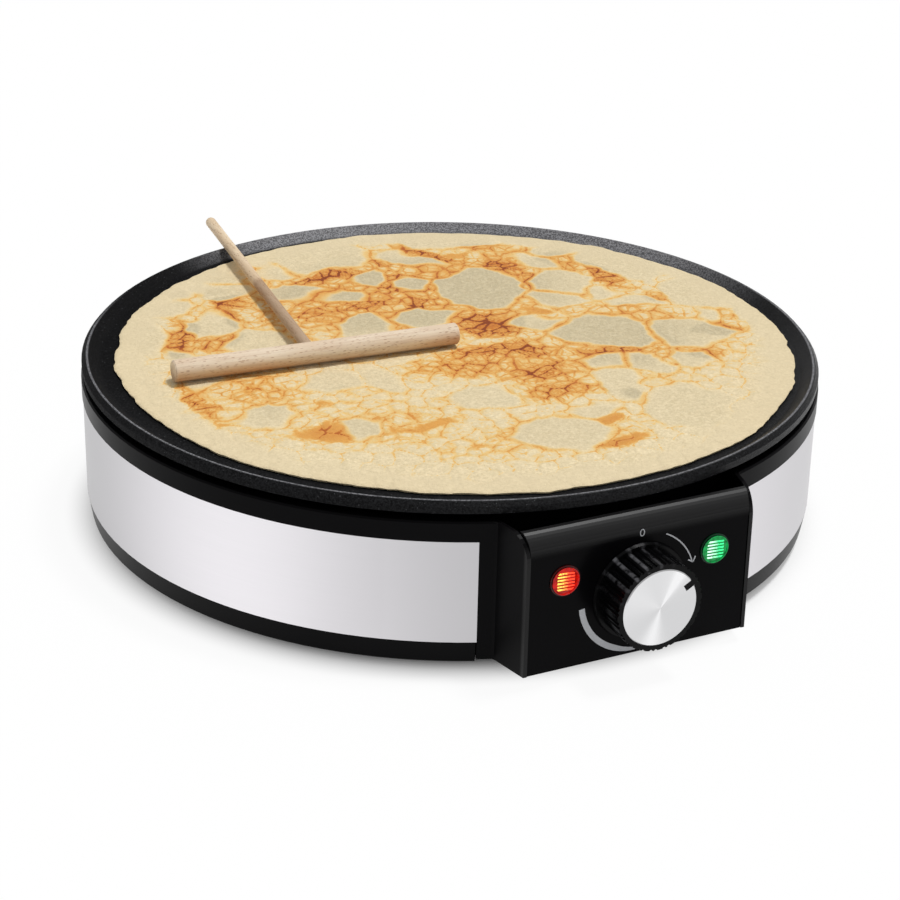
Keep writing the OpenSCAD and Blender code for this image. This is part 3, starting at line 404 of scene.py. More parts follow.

# %% [markdown]
# The cap of the dial was spun in a lathe. Its fine rings all throw the light back in the same few
# directions, so the disc shows bright fans that meet in its centre. Here the fans are painted highlights.

# %% Spun cap
def spun_cap():
    finish = Finish("spun_cap", Metallic=1.0)
    x, y, z = finish.from_middle_of("knob_body")
    out = (x * x + z * z) ** 0.5
    where = finish.node("ShaderNodeCombineXYZ", {"X": out})("Vector")
    rings = finish.noise(0.22, 2.0, 0.7, at=where)
    # painted highlights: bright fans that meet in the centre of the cap
    painted_fans = humps(x, z, ((58, 60, 1.0), (70, 6, 0.35), (-104, 22, 0.9), (150, 4, 0.45)))
    metal = finish.mix(painted_fans, rgb(218, 218, 219), rgb(254, 254, 255))
    finish.set("Base Color", finish.mix(rings * 0.22, metal, rgb(196, 197, 200)))
    finish.set("Roughness", 0.18 + rings * 0.12)
    finish.bump(rings, 0.03, 0.5)
    return finish


dress(spun_cap(), "knob_cap")

# %% [markdown]
# ## Inside
# The parts inside are plain metal, nylon, resin, and the coloured insulation of the wires. Two functions
# cover them, and each lets its colour wander towards a darker shade.

# %% Plain metals and insulation
def darker(tone, share):
    return tuple(value * share for value in tone[:3]) + (1.0,)


def plain_metal(name, tone, roughness):
    finish = Finish(name, Metallic=1.0)
    wear = finish.noise(5.0, 4.0, 0.6)
    finish.set("Base Color", finish.mix(wear, darker(tone, 0.8), tone))
    finish.set("Roughness", roughness + wear * 0.15)
    finish.bump(finish.noise(0.6, 3.0), 0.02, 0.4)
    return finish


def insulation(name, tone):
    finish = Finish(name)
    slow = finish.noise(9.0, 2.0)
    finish.set("Base Color", finish.mix(slow, darker(tone, 0.75), tone))
    finish.set("Roughness", 0.42 + slow * 0.12)
    finish.bump(finish.noise(1.2, 2.0), 0.03, 0.4)
    return finish


# %% Inner parts: finish, tone, roughness of a metal, and the nodes that it dresses
metals = (
    ("zinc_plate", (196, 198, 200), 0.28, "clip_screws", "element_clips", "bulb_clip", "fuse_clip",
     "plate_studs", "stud_nuts", "thermostat_bracket", "thermostat_screws", "block_screw", "base_screws",
     "panel_screws"),
    ("bright_sheet", (205, 206, 207), 0.32, "heat_shield"),
    ("spring_metal", (214, 215, 216), 0.25, "lens_nuts"),
    ("turned_steel", (150, 152, 154), 0.35, "stud_spacers"),
    ("heated_sheath", (120, 112, 104), 0.45, "heating_element"),
    ("drawn_copper", (200, 128, 86), 0.28, "sensor_bulb", "capillary_tube"),
    ("turned_brass", (190, 160, 96), 0.28, "thermostat_spindle", "earth_screw"))
insulators = (
    ("natural_nylon", (222, 216, 200), "terminal_block", "lamp_holders"),
    ("moulded_resin", (190, 180, 156), "thermostat_case"),
    ("fuse_glaze", (214, 208, 190), "thermal_fuse"),
    ("brown_insulation", (120, 76, 46), "live_wire"),
    ("blue_insulation", (48, 92, 166), "neutral_wire"),
    ("green_insulation", (110, 172, 62), "earth_wire"),
    ("white_braid", (214, 210, 200), "heater_wire", "lamp_wires"))
for name, tone, roughness, *dressed in metals:
    dress(plain_metal(name, rgb(*tone), roughness), *dressed)
for name, tone, *dressed in insulators:
    dress(insulation(name, rgb(*tone)), *dressed)

# %% [markdown]
# ## Wood
# The spreader is beech: pale, straight in the grain, with the short reddish flecks of its rays, which are
# cells stretched along the rod. The head's direction comes from its box. The handle tapers, so its
# direction joins the middles of its ends.

# %% Directions of the grain
def middle_of(points):
    return sum(points, Vector()) / len(points)


head_low, head_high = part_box("spreader_head")
head_size = head_high - head_low
rod_x, rod_y = 0.0005, 0.0095       # what the rod's own thickness adds to its box
head_direction = Vector((head_size.x - rod_x, rod_y - head_size.y, 0)).normalized()
half_way = sum(corner.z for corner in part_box("spreader_handle")) / 2
handle_points = [vertex.co for vertex in nodes["spreader_handle"].data.vertices]
upper_end = middle_of([point for point in handle_points if point.z > half_way])
lower_end = middle_of([point for point in handle_points if point.z < half_way])
handle_direction = (upper_end - lower_end).normalized()
for name, along in (("head", head_direction), ("handle", handle_direction)):
    print("grain of the", name, [round(value, 3) for value in along])


# %% Beech
def beech(name, node, along, pale, warm, fleck_tone):
    """Wood with its grain along one direction, and painted shade on the underside of the rod."""
    finish = Finish(name, Specular_IOR_Level=0.3)
    x, y, z = finish.from_middle_of(node)
    level = math.hypot(along.x, along.y)
    above = z * level - (x * along.x + y * along.y) * (along.z / level)
    # painted shade: the underside of the rod is darker
    painted_under_shade = 1 - (above - y * 0.1 * level).between(-4.2, 2.4)
    run = finish.node("ShaderNodeVectorRotate", {"Vector": finish.mm, "Angle": -math.atan2(along.y, along.x)},
                      rotation_type="Z_AXIS")("Vector")
    grain = finish.noise(1.0, 4.0, 0.65, at=finish.stretched(0.03, 0.9, 0.9, run))
    slow = finish.noise(1.0, 2.0, 0.5, at=finish.stretched(0.02, 0.16, 0.16, run))
    dashes = finish.cells(1.0, at=finish.stretched(0.32, 1.9, 1.9, run))
    fleck = (1 - dashes.between(0.14, 0.34)) * grain.between(0.34, 0.55)
    base = finish.mix(slow.between(0.3, 0.7), pale, warm)
    base = finish.mix(grain.between(0.45, 0.75) * 0.45, base, fleck_tone)
    base = finish.mix(fleck * 0.85, base, finish.mix(slow, fleck_tone, rgb(146, 104, 74)))
    base = finish.mix(painted_under_shade * 0.62, base, rgb(146, 108, 80))
    finish.set("Base Color", base)
    finish.set("Roughness", 0.62 + grain * 0.15)
    finish.bump(grain - fleck * 0.5, 0.08, 0.6)
    return finish


dress(beech("beech_head", "spreader_head", head_direction,
            rgb(244, 228, 204), rgb(228, 204, 176), rgb(184, 142, 110)), "spreader_head")
dress(beech("beech_handle", "spreader_handle", handle_direction,
            rgb(240, 220, 190), rgb(222, 196, 162), rgb(178, 140, 104)), "spreader_handle")

# %% [markdown]
# ## Helpers for modelling
# Operators act on all that is selected, and a freshly loaded frame is selected all over. So each piece
# starts from an empty selection, and faces are picked by their place or the way they face.

# %% Modelling helpers
def clear_selection():
    if bpy.context.object and bpy.context.object.mode != "OBJECT":
        bpy.ops.object.mode_set(mode="OBJECT")
    bpy.ops.object.select_all(action="DESELECT")


def begin(name, primitive, **size):
    """Adds a primitive, names it and leaves it in edit mode, with nothing selected."""
    clear_selection()
    primitive(**size)
    piece = bpy.context.object
    piece.name = piece.data.name = name
    bpy.ops.object.transform_apply()
    bpy.ops.object.mode_set(mode="EDIT")
    bpy.ops.mesh.select_all(action="DESELECT")
    return piece


def pick(piece, test, kind="FACE"):
    """Selects the faces or vertices whose middle and normal pass a test."""
    bpy.ops.mesh.select_mode(type=kind)
    bpy.ops.mesh.select_all(action="DESELECT")
    edit = bmesh.from_edit_mesh(piece.data)
    count = 0
    for item in edit.faces if kind == "FACE" else edit.verts:
        place = item.calc_center_median() if kind == "FACE" else item.co
        if test(place, item.normal):
            item.select_set(True)
            count += 1
    bmesh.update_edit_mesh(piece.data)
    return count


def extrude(*by):
    bpy.ops.mesh.extrude_region_move(TRANSFORM_OT_translate={"value": by})


def settle(piece, body, slot, *finishes, smooth=30):
    """Leaves edit mode, smooths, finishes and seats a piece on its body."""
    clear_selection()
    piece.select_set(True)
    bpy.context.view_layer.objects.active = piece
    bpy.ops.object.shade_smooth_by_angle(angle=math.radians(smooth))
    for finish in finishes:
        piece.data.materials.append(finish.material)
    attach(piece, body)
    print(piece.name, "faces:", len(piece.data.polygons), "rides on", body)


# %% [markdown]
# ## The crepe: its shape
# Batter spread by hand sets as a thin round with a slightly ragged edge. The sheet starts as a fine grid.
# What lies outside the round is deleted, the rim is pulled onto a circle, and then folded down and under.

# %% Crepe sheet
crepe_low, crepe_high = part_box("crepe")
crepe_r = (crepe_high.x - crepe_low.x) / 2
crepe_mid = (crepe_high.x + crepe_low.x) / 2
grid_step = 0.00098
grid_inset, rim_fold = 0.0008, 0.0012       # the grid and the cut round, in from the crepe's edge
room_to_swell = 0.00025
side = 2 * (crepe_r - grid_inset)
cuts = int(side / grid_step)
crepe = begin("crepe_round", bpy.ops.mesh.primitive_grid_add, x_subdivisions=cuts, y_subdivisions=cuts,
              size=side, location=(0, 0, crepe_high.z - room_to_swell))
removed = pick(crepe, lambda place, facing: place.xy.length > crepe_r - rim_fold, "VERT")
bpy.ops.mesh.delete(type="VERT")
print("crepe radius in mm:", round(crepe_r * 1000, 1), "points cut away:", removed)

# %% Rim of the crepe: steps in millimetres down, and how much wider each one gets
rim_steps = ((0.4, 1.0055), (0.7, 0.9985), (0.2, 0.985))
bpy.ops.mesh.select_mode(type="EDGE")
bpy.ops.mesh.select_all(action="SELECT")
bpy.ops.mesh.region_to_loop()
bpy.ops.transform.tosphere(value=1.0)
for down, wider in rim_steps:
    extrude(0, 0, -down / 1000)
    bpy.ops.transform.resize(value=(wider, wider, 1), center_override=(0, 0, 0))
bpy.ops.mesh.edge_face_add()
bpy.ops.mesh.select_all(action="SELECT")
bpy.ops.transform.translate(value=(crepe_mid, 0, 0))
clear_selection()
print("crepe points:", len(crepe.data.vertices), "off the middle by mm:", round(crepe_mid * 1000, 1))

# %% [markdown]
# ## The crepe: its bubbles
# Steam lifts the baking batter into bubbles. What lies between them touches the plate and browns, so the
# brown is a net of veins round pale patches. The patches are listed, with their width, depth and
# tilt, and the smallest are strewn between them. Each point of the sheet then learns how far it is from
# the nearest vein, which gives crisp veins even on a modest mesh, and noise keeps them from looking drawn.
# Blender shifts its noise by the clock unless a seed is set first. With one, every crepe is the same.

# %% Bubbles, in millimetres: x, y, half width, half depth, tilt in degrees
noise.seed_set(5)
large_bubbles = [
    (-12, 125, 25, 15, 8), (62, 123, 24, 11, -22), (30, 108, 15, 6, -52), (-62, 122, 9, 12, 15),
    (44, 60, 19, 23, -12), (84, 54, 14, 14, -18), (85, 82, 7, 13, 24), (103, 92, 9, 8, -30),
    (121, 62, 12, 25, 8), (72, 33, 11, 8, -18), (95, 31, 5, 6, 0), (102, 17, 10, 6, -22),
    (131, 12, 11, 15, 0), (48, 12, 10, 7, -28), (75, -12, 22, 19, -28), (106, -24, 16, 16, 20),
    (-24, 37, 13, 10, 12), (5, 36, 12, 10, -14), (-40, 88, 15, 9, -8), (4, 93, 9, 7, -30),
    (-86, 65, 14, 10, 42), (-99, 90, 11, 8, 18), (-68, 102, 9, 13, 8), (-84, 108, 8, 7, 0),
    (-74, 40, 12, 8, 18), (-119, 66, 9, 20, -8), (1, -101, 17, 14, -22), (50, -68, 10, 16, -10),
    (23, -85, 8, 5, 0), (71, -50, 8, 11, 12), (94, -54, 8, 9, 0), (-12, -57, 10, 10, 0),
    (55, -43, 9, 7, -20), (-61, -15, 11, 9, 0), (-40, -18, 4, 11, 0), (-100, -36, 12, 8, 10),
    (120, -12, 6, 8, 0), (64, -96, 18, 16, 30), (-36, 118, 6, 9, 0), (94, 112, 9, 6, -38),
    (-112, 22, 8, 22, 0), (-70, -64, 8, 6, 10), (18, 76, 9, 6, 60), (-18, 75, 14, 5, -20)]
small_bubbles = [
    (40, 0, 4.5, 5), (18, -1, 6, 3.5), (-2, 52, 5, 4), (-15, 61, 4, 4), (-6, 70, 5, 5), (-71, 72, 7, 7),
    (-106, 73, 4, 6), (23, 130, 6, 5), (80, 101, 6, 4), (79, 88, 3, 4), (58, 17, 4, 3), (70, 18, 4, 4),
    (85, 10, 5, 4), (36, 22, 4, 3), (27, -12, 4, 3), (13, 12, 3, 3), (21, 22, 3, 2.4), (-79, -5, 5, 4),
    (-109, -4, 6, 5), (-28, -6, 6, 3), (46, -28, 4, 4), (26, -30, 5, 4), (38, -42, 5, 4), (6, -16, 4, 3.5),
    (92, -70, 5, 4), (110, -52, 5, 6), (128, -22, 4, 5), (138, -30, 5, 4), (112, -2, 5, 4), (60, 95, 4, 5)]
print("bubbles placed by hand:", len(large_bubbles) + len(small_bubbles))

# %% [markdown]
# Browning isn't even. These soft spots say where the plate was hottest and how dark it got there. A few
# patches lay flat on the plate and toasted evenly, with no net in them.

# %% Hot spots: x, y, half width, half depth, tilt, darkness
hot_spots = [
    (10, 66, 150, 92, -8, 0.52), (72, -18, 92, 84, 0, 0.47), (-96, -8, 46, 84, 0, 0.44),
    (0, -98, 88, 38, 0, 0.4), (-62, -66, 60, 38, -12, 0.42), (-14, -58, 66, 32, 0, 0.36),
    (28, 17, 19, 17, -40, 1.0), (66, 84, 10, 17, 10, 0.95), (70, 60, 5, 24, -8, 0.7),
    (-70, 86, 8, 10, -30, 0.95), (-14, 60, 24, 13, 4, 0.75), (-16, 101, 26, 7, 10, 0.85),
    (14, 108, 7, 12, 30, 0.7), (42, 108, 5, 27, 24, 0.85), (8, 48, 9, 24, -14, 0.8),
    (20, -14, 34, 13, -16, 0.8), (28, -38, 28, 20, 0, 0.7), (22, -62, 24, 12, 0, 0.7),
    (62, -32, 24, 7, -14, 0.75), (106, 52, 7, 24, -6, 0.75), (112, 20, 12, 14, 0, 0.55),
    (118, -26, 16, 14, 0, 0.65), (-122, -14, 6, 26, 4, 0.75), (-104, 56, 9, 30, -24, 0.75),
    (-92, 44, 18, 12, 0, 0.62), (-86, -62, 15, 11, -24, 0.6), (18, -116, 18, 7, 14, 0.6),
    (27, -97, 9, 5, 0, 0.6), (56, 24, 12, 8, -24, 0.5), (-36, 58, 20, 26, 0, 0.62),
    (-76, 70, 5, 22, -10, 0.7), (-44, -98, 34, 24, -8, 0.36), (10, 74, 26, 16, -20, 0.68),
    (20, 86, 18, 16, 20, 0.62), (-96, -10, 22, 14, 0, 0.5), (104, -50, 14, 12, 0, 0.6),
    (75, 104, 34, 12, -24, 0.55), (-78, 104, 36, 16, 0, 0.42), (98, 76, 22, 30, 0, 0.5),
    (86, -24, 6, 20, -28, 0.6), (48, -78, 12, 14, 0, 0.5), (-2, -22, 34, 18, -8, 0.62),
    (90, 8, 26, 16, 0, 0.5), (-60, -40, 60, 40, 0, 0.36), (132, -14, 10, 24, 0, 0.45),
    (34, 128, 10, 14, 0, 0.5)]
toasted = [
    (-98, -10, 9, 8, 0, 0.6), (-85, -63, 19, 11, -24, 0.8), (27, -96, 8, 5, 0, 1.0),
    (19, -116, 13, 6, 14, 0.9), (54, 24, 11, 7, -24, 0.8), (52, 104, 8, 5, -20, 0.9),
    (27, 18, 12, 11, -30, 0.66), (67, 84, 5, 10, 10, 0.7), (-46, -72, 26, 7, 6, 0.62),
    (-30, -96, 16, 6, 12, 0.5), (-74, -34, 12, 6, -20, 0.5)]
pale_rim = 11.0
print("hot spots:", len(hot_spots), "toasted patches:", len(toasted))

# %% Shapes and heat in the plane of the sheet
def wander(points, size, amount, layer):
    """Shifts points by smooth noise, so that nothing drawn from them stays geometric."""
    out = points.copy()
    for row, (x, y) in enumerate(points):
        shift = noise.noise_vector((x / size, y / size, layer))
        out[row] += (shift.x * amount, shift.y * amount)
    return out


def oval_distance(points, x, y, wide, deep, tilt):
    """Distance in mm outside an oval; negative inside it."""
    turn = math.radians(tilt)
    dx, dy = points[:, 0] - x, points[:, 1] - y
    u = (dx * math.cos(turn) + dy * math.sin(turn)) / wide
    v = (dy * math.cos(turn) - dx * math.sin(turn)) / deep
    return (np.hypot(u, v) - 1) * min(wide, deep)


def heat_of(points, spots):
    """How hot the plate was under each point, from 0 to 1."""
    heat = np.zeros(len(points))
    for x, y, wide, deep, tilt, dark in spots:
        inside = -oval_distance(points, x, y, wide, deep, tilt) / min(wide, deep)
        heat = np.maximum(heat, dark * np.clip(0.5 + inside * 0.7, 0, 1) ** 1.2)
    return heat


def strewn(count, seed, spacing, half_side=146, round_r=144):
    """Seeds strewn over a round, no two closer than the local spacing."""
    tries = np.random.default_rng(seed).uniform(-half_side, half_side, (count, 2))
    tries = tries[np.hypot(*tries.T) < round_r]
    kept = tries[:1]
    for place, gap in zip(tries, spacing(tries)):
        if np.hypot(*(kept - place).T).min() > gap:
            kept = np.vstack([kept, place])
    return kept


def fine_spacing(places):
    """Small close cells where the plate is hot, wider ones elsewhere."""
    return 9.5 - 5.3 * np.minimum(1, 1.35 * heat_of(places, hot_spots))


# %% Seeds of the small cells
points = np.array([vertex.co[:2] for vertex in crepe.data.vertices]) * 1000
bends = ((20, 6.0, 3.1), (7.5, 1.7, 7.7), (2.6, 0.4, 5.3))      # size, amount, layer of the noise
bent = points
for size, amount, layer in bends:
    bent = wander(bent, size, amount, layer)
ovals = large_bubbles + [(x, y, wide, deep, 0) for x, y, wide, deep in small_bubbles]
seeds = strewn(count=9000, seed=11, spacing=fine_spacing)
clear_of_ovals = np.min([oval_distance(seeds, *oval) for oval in ovals], axis=0)
seeds = seeds[clear_of_ovals > 3.4 - 2.4 * np.minimum(1, 1.6 * heat_of(seeds, hot_spots))]
print("small cells strewn:", len(seeds))

# %% Distance of each point to the nearest vein, half way from one bubble to the next
seed_r = 1.2
nearest = np.full(len(points), 1e3)
second = np.full(len(points), 1e3)
in_large = np.zeros(len(points), bool)
for order, oval in enumerate(ovals + [(x, y, seed_r, seed_r, 0) for x, y in seeds]):
    away = oval_distance(bent, *oval)
    in_large = np.where(away < nearest, order < len(large_bubbles), in_large)
    second = np.minimum(second, np.maximum(nearest, away))
    nearest = np.minimum(nearest, away)
vein = (second - nearest) / 2

# %% Fields stored on the sheet
radius = np.hypot(points[:, 0] - crepe_mid * 1000, points[:, 1])
edge = np.array([noise.noise((x / 14, y / 14, 2.0)) for x, y in points])
inner = np.clip((crepe_r * 1000 - pale_rim + 6 * edge - radius) / 7, 0, 1)
fields = {"vein": vein, "browning": heat_of(bent, hot_spots), "toasted": heat_of(bent, toasted),
          "bubble": np.where(in_large, vein, -vein), "inner": inner}
for label, values in fields.items():
    stored = crepe.data.attributes.new(label, "FLOAT", "POINT")
    stored.data.foreach_set("value", values.astype(np.float32))
    print(label, "from", round(float(values.min()), 2), "to", round(float(values.max()), 2))

# %% [markdown]
# The same fields shape the sheet: bubbles stand a little, veins lie down, and the edge wanders in and out
# by a millimetre or so where the batter ran.

# %% Relief and ragged edge
ragged_waves = ((3.2, 5.0, 1.5), (11, 9.0, 1.1), (30, 1.0, 0.6))    # how close, layer, and millimetres
ragged_from, ragged_over = 118, 30
bubble_height, ripple_height = 0.16, 0.10
for vertex, near, out in zip(crepe.data.vertices, vein, radius):
    x, y = vertex.co.x * 1000, vertex.co.y * 1000
    on_top = vertex.co.z > crepe_low.z + 0.0008
    angle = math.atan2(y, x - crepe_mid * 1000)
    cosine, sine = math.cos(angle), math.sin(angle)
    ragged = sum(noise.noise((cosine * close, sine * close, layer)) * amount
                 for close, layer, amount in ragged_waves)
    reach = max(0.0, (out - ragged_from) / ragged_over) ** 2
    vertex.co.x += cosine * ragged * reach / 1000
    vertex.co.y += sine * ragged * reach / 1000
    if on_top:
        swell = bubble_height * min(near / 3, 1) + ripple_height * noise.noise((x / 9, y / 9, 4.0))
        vertex.co.z += (swell - bubble_height) / 1000
print("crepe shaped, points:", len(crepe.data.vertices))

# %% [markdown]
# ## The crepe: its colour
# Cream where the batter is thick, greyer where a bubble thinned it, and from straw through gold to
# chestnut in the veins. The finish is built in steps from the sheet's fields and some noise of its own.
# `warm` is how hot the batter got, and `open_batter` is 1 outside the large bubbles.

# %% Fields and noises of the batter
batter = Finish("baked_batter", Specular_IOR_Level=0.14)


def field(name):
    return batter.node("ShaderNodeAttribute", attribute_name=name)("Fac")


near_vein, brown, in_bubble, inside, toast = map(field, ("vein", "browning", "bubble", "inner", "toasted"))
fine = batter.noise(1.3, 4.0, 0.7)
middle = batter.noise(5.0, 4.0, 0.6)
broad = batter.noise(28.0, 3.0, 0.5)
crumb = batter.noise(2.3, 3.0, 0.85).between(0.40, 0.60)
grain = (fine.between(0.40, 0.60) + crumb) * 0.5
open_batter = 1 - in_bubble.between(0.4, 1.5)
warm = (brown + (middle - 0.5) * 0.36).limit()
print("batter reads:", ", ".join(fields))

# %% [markdown]
# A finer net joins the sheet's own veins. Its cells come straight from the material: the distance to a
# cell's edge is 0 on the edge itself, and there a line is drawn.

# %% Finer net
def net(size, width, drift):
    """Thin lines round cells `size` millimetres across, on coordinates bent by noise."""
    bend = batter.node("ShaderNodeTexNoise", {"Vector": batter.mm, "Scale": 0.7 / size, "Detail": 1.0})
    at = batter.vector("ADD", batter.mm, batter.stretched(drift, drift, drift, bend("Color")))
    away = batter.node("ShaderNodeTexVoronoi", {"Vector": at, "Scale": 1 / size},
                       feature="DISTANCE_TO_EDGE", voronoi_dimensions="2D")("Distance")
    return 1 - away.between(width * 0.25 / size, width / size)


fine_net = net(3.0, 0.8, 2.4) * warm.between(0.42, 0.75) * open_batter
wide_net = net(5.8, 0.95, 4.4) * warm.between(0.26, 0.5) * open_batter
lace = (fine_net * 0.80).larger(wide_net * 0.7) * (0.40 + middle * 0.9)
print("nodes with both nets:", len(batter.tree.nodes))

# %% [markdown]
# Brown has five sources: the line of a vein, the halo round it, the net, the evenly toasted patches, and
# `haze`, the soft gold of every hot place. At each point the strongest of them counts.

# %% How brown the batter is
width = 0.05 + warm * 0.22 + (fine - 0.5) * 0.8
line = (1 - ((near_vein - width) / (0.34 + warm * 0.25)).between(0.0, 1.0)) * (warm * 1.4).limit()
halo = (1 - near_vein.between(0.2, 3.0)) * warm.between(0.16, 0.60)
mottle = batter.noise(2.2, 4.0, 0.75).between(0.5, 0.70) * warm.between(0.14, 0.5) * open_batter
haze = (warm.between(0.24, 0.92) * 0.60 + mottle * 0.40) * open_batter
patch = (toast + (middle - 0.5) * 0.9).between(0.30, 0.62) * open_batter
depth = line.larger(lace * 0.8).larger(patch * 0.5).larger(halo * 0.52)
tone = ((depth * (0.52 + warm * 0.66)).larger(haze * 0.68) + (fine - 0.5) * 0.22 * warm) * inside
print("nodes with the browning:", len(batter.tree.nodes))

# %% [markdown]
# Batter that didn't brown varies too: slowly all over, greyer and wrinkled in the bubbles, grainy, and a
# little dry at the rim. Each share mixes one more tint in.

# %% Cream
pale = in_bubble.between(0.3, 3.6) * (0.28 + 0.70 * brown.between(0.37, 0.50))
wrinkles = batter.noise(1.6, 4.0, 0.8).between(0.44, 0.62) * pale
cream = batter.mix(broad, rgb(255, 238, 199), rgb(251, 230, 189))
for share, tint in ((pale, rgb(229, 214, 179)), (wrinkles * 0.36, rgb(202, 188, 150)),
                    (middle.between(0.45, 0.8) * 0.35, rgb(206, 194, 158)),
                    (grain * 0.60, rgb(206, 187, 146)),
                    ((1 - inside) * 0.6, rgb(234, 216, 178))):
    cream = batter.mix(share, cream, tint)
print("nodes with the cream:", len(batter.tree.nodes))

# %% Baked batter
straw_to_chestnut = [
    (0.0, rgb(240, 220, 176)), (0.16, rgb(243, 208, 140)), (0.36, rgb(236, 176, 92)),
    (0.58, rgb(214, 133, 59)), (0.80, rgb(184, 97, 42)), (1.0, rgb(146, 70, 30))]
baked = batter.node("ShaderNodeValToRGB", {"Fac": tone.limit()}, stops=straw_to_chestnut)("Color")
batter.set("Base Color", batter.mix((tone * 6).limit(), cream, baked))
batter.set("Roughness", 0.60 - tone * 0.16 + fine * 0.1)
relief = fine * 0.9 + crumb * 0.25 + middle * 0.4 + near_vein.between(0.0, 2.2) * 0.5
batter.bump(relief - lace * 0.35 - wrinkles * 0.35, 0.55, 0.9)

settle(crepe, "crepe", "batter", batter, smooth=60)
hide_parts("crepe")
undressed.discard("crepe")

# %% [markdown]
# ## Pilot lamps
# Each lens is a round of coloured plastic in a dark rim. Level prisms are cut in its face, and the neon
# lamp behind makes them glow, more on one side. The disc is sliced with straight cuts, and every other
# strip between them is raised.

# %% Glowing plastic
def lens_plastic(name, deep, glow, strength):
    finish = Finish(name, Roughness=0.14, Specular_IOR_Level=0.25, Emission_Strength=strength)
    slow = finish.noise(1.6, 3.0)
    finish.set("Base Color", finish.mix(slow, deep, glow))
    finish.set("Emission Color", finish.mix(slow.between(0.35, 0.65), deep, glow))
    finish.bump(slow, 0.06, 0.6)
    return finish


def prism_plastic(name, node, near_lamp, far_side, deep, strength):
    """Brightest where the lamp stands, deeper in colour towards the other side."""
    finish = Finish(name, Roughness=0.12, Specular_IOR_Level=0.25, Emission_Strength=strength)
    x, y, z = finish.from_middle_of(node)
    slow = finish.noise(1.1, 3.0)
    across = (x + (slow - 0.5) * 5).between(-2.4, 1.8)
    tone = finish.mix(across, near_lamp, far_side)
    tone = finish.mix(finish.noise(0.8, 3.0).between(0.5, 0.7) * 0.7, tone, deep)
    finish.set("Base Color", tone)
    finish.set("Emission Color", tone)
    finish.bump(slow, 0.1, 0.7)
    return finish


# %% Disc with a stepped rim: each step goes inwards and forwards, in millimetres
rim_profile = ((0.1, 0.1), (0.45, 0.0), (0.1, 0.5), (0.3, 0.0), (0.25, -0.4), (0.3, 0.0), (0.2, 0.1))
disc_inset, disc_depth, disc_back = 0.0004, 0.0005, 0.0012


def lens_disc(name, node):
    low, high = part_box(node)
    middle = (low + high) / 2
    wide = (high.x - low.x) / 2 - disc_inset
    middle.y = low.y + disc_back - disc_depth / 2
    disc = begin(name, bpy.ops.mesh.primitive_cylinder_add, vertices=72, radius=wide, depth=disc_depth,
                 location=middle, rotation=(math.radians(90), 0, 0))
    pick(disc, lambda place, facing: facing.y < -0.9)
    for inwards, forwards in rim_profile:
        bpy.ops.mesh.inset(thickness=inwards / 1000)
        bpy.ops.transform.translate(value=(0, -forwards / 1000, 0))
    return disc, middle, wide


# %% Lens: its face is cut into strips, and every other strip is raised
window, rows, slant = 0.0037, 11, 0.05      # half the field of prisms, its strips, and how they slant
prism_height, rim_width, face_inset = 0.00025, 0.0008, 0.0016


def pilot_lens(name, node, *finishes):
    lens, middle, wide = lens_disc(name, node)

    def from_middle(place):
        return math.hypot(place.x - middle.x, place.z - middle.z)

    def on_face(place, facing):
        return facing.y < -0.9 and from_middle(place) < wide - face_inset

    def on_prism(place, facing):
        row = (place.z + slant * (place.x - middle.x) - middle.z + window) / (2 * window) * rows
        return (on_face(place, facing) and abs(place.x - middle.x) < window * 0.98
                and 0 < row < rows and int(row) % 2 == 0)

    level_cuts = [(0, window * (-1 + 2 * step / rows), (slant, 0, 1)) for step in range(rows + 1)]
    for right, up, across in level_cuts + [(-window, 0, (1, 0, 0)), (window, 0, (1, 0, 0))]:
        pick(lens, on_face)
        bpy.ops.mesh.bisect(plane_co=(middle.x + right, middle.y, middle.z + up), plane_no=across)
    raised = pick(lens, on_prism)
    extrude(0, -prism_height, 0)
    settle(lens, "base", node, *finishes, smooth=35)
    for face in lens.data.polygons:
        if from_middle(face.center) > wide - rim_width:
            face.material_index = 2
        elif on_prism(face.center, face.normal):
            face.material_index = 1
    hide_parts(node)
    undressed.discard(node)
    print(name, "prisms raised:", raised)


# %% Both lenses, with the finishes of their body, prisms and rim
pilot_lens(
    "red_pilot", "red_lens", lens_plastic("red_lens_body", rgb(120, 2, 0), rgb(226, 22, 10), 0.34),
    prism_plastic("red_lens_prism", "red_lens", rgb(255, 214, 92), rgb(255, 66, 34), rgb(206, 16, 6), 1.0),
    lens_plastic("red_lens_rim", rgb(26, 2, 2), rgb(84, 8, 6), 0.03))
pilot_lens(
    "green_pilot", "green_lens", lens_plastic("green_lens_body", rgb(0, 88, 40), rgb(8, 178, 86), 0.36),
    prism_plastic("green_lens_prism", "green_lens",
                  rgb(206, 255, 226), rgb(62, 246, 148), rgb(0, 150, 72), 0.9),
    lens_plastic("green_lens_rim", rgb(2, 26, 14), rgb(6, 66, 36), 0.03))


# %% Neon lamps behind the lenses
def neon_glass(name, tone):
    finish = Finish(name, Roughness=0.1, Emission_Strength=0.5)
    glow = finish.mix(finish.noise(3.0, 2.0), tone, rgb(255, 240, 225))
    finish.set("Base Color", glow)
    finish.set("Emission Color", glow)
    return finish


dress(neon_glass("neon_red", rgb(255, 120, 70)), "red_lamp")
dress(neon_glass("neon_green", rgb(110, 240, 160)), "green_lamp")

# %% [markdown]
# ## Printing on the panel
# Thin pale ink: a 0 above the dial, an arrow that shows which way to turn, and a wedge that grows with
# the heat. Each mark is a sheet a few hundredths of a millimetre proud.

# %% Ink
def pale_ink():
    finish = Finish("pale_ink", Roughness=0.5)
    speck = finish.noise(0.5, 2.0)
    finish.set("Base Color", finish.mix(speck, rgb(176, 178, 182), rgb(206, 208, 212)))
    finish.bump(speck, 0.01, 0.3)
    return finish


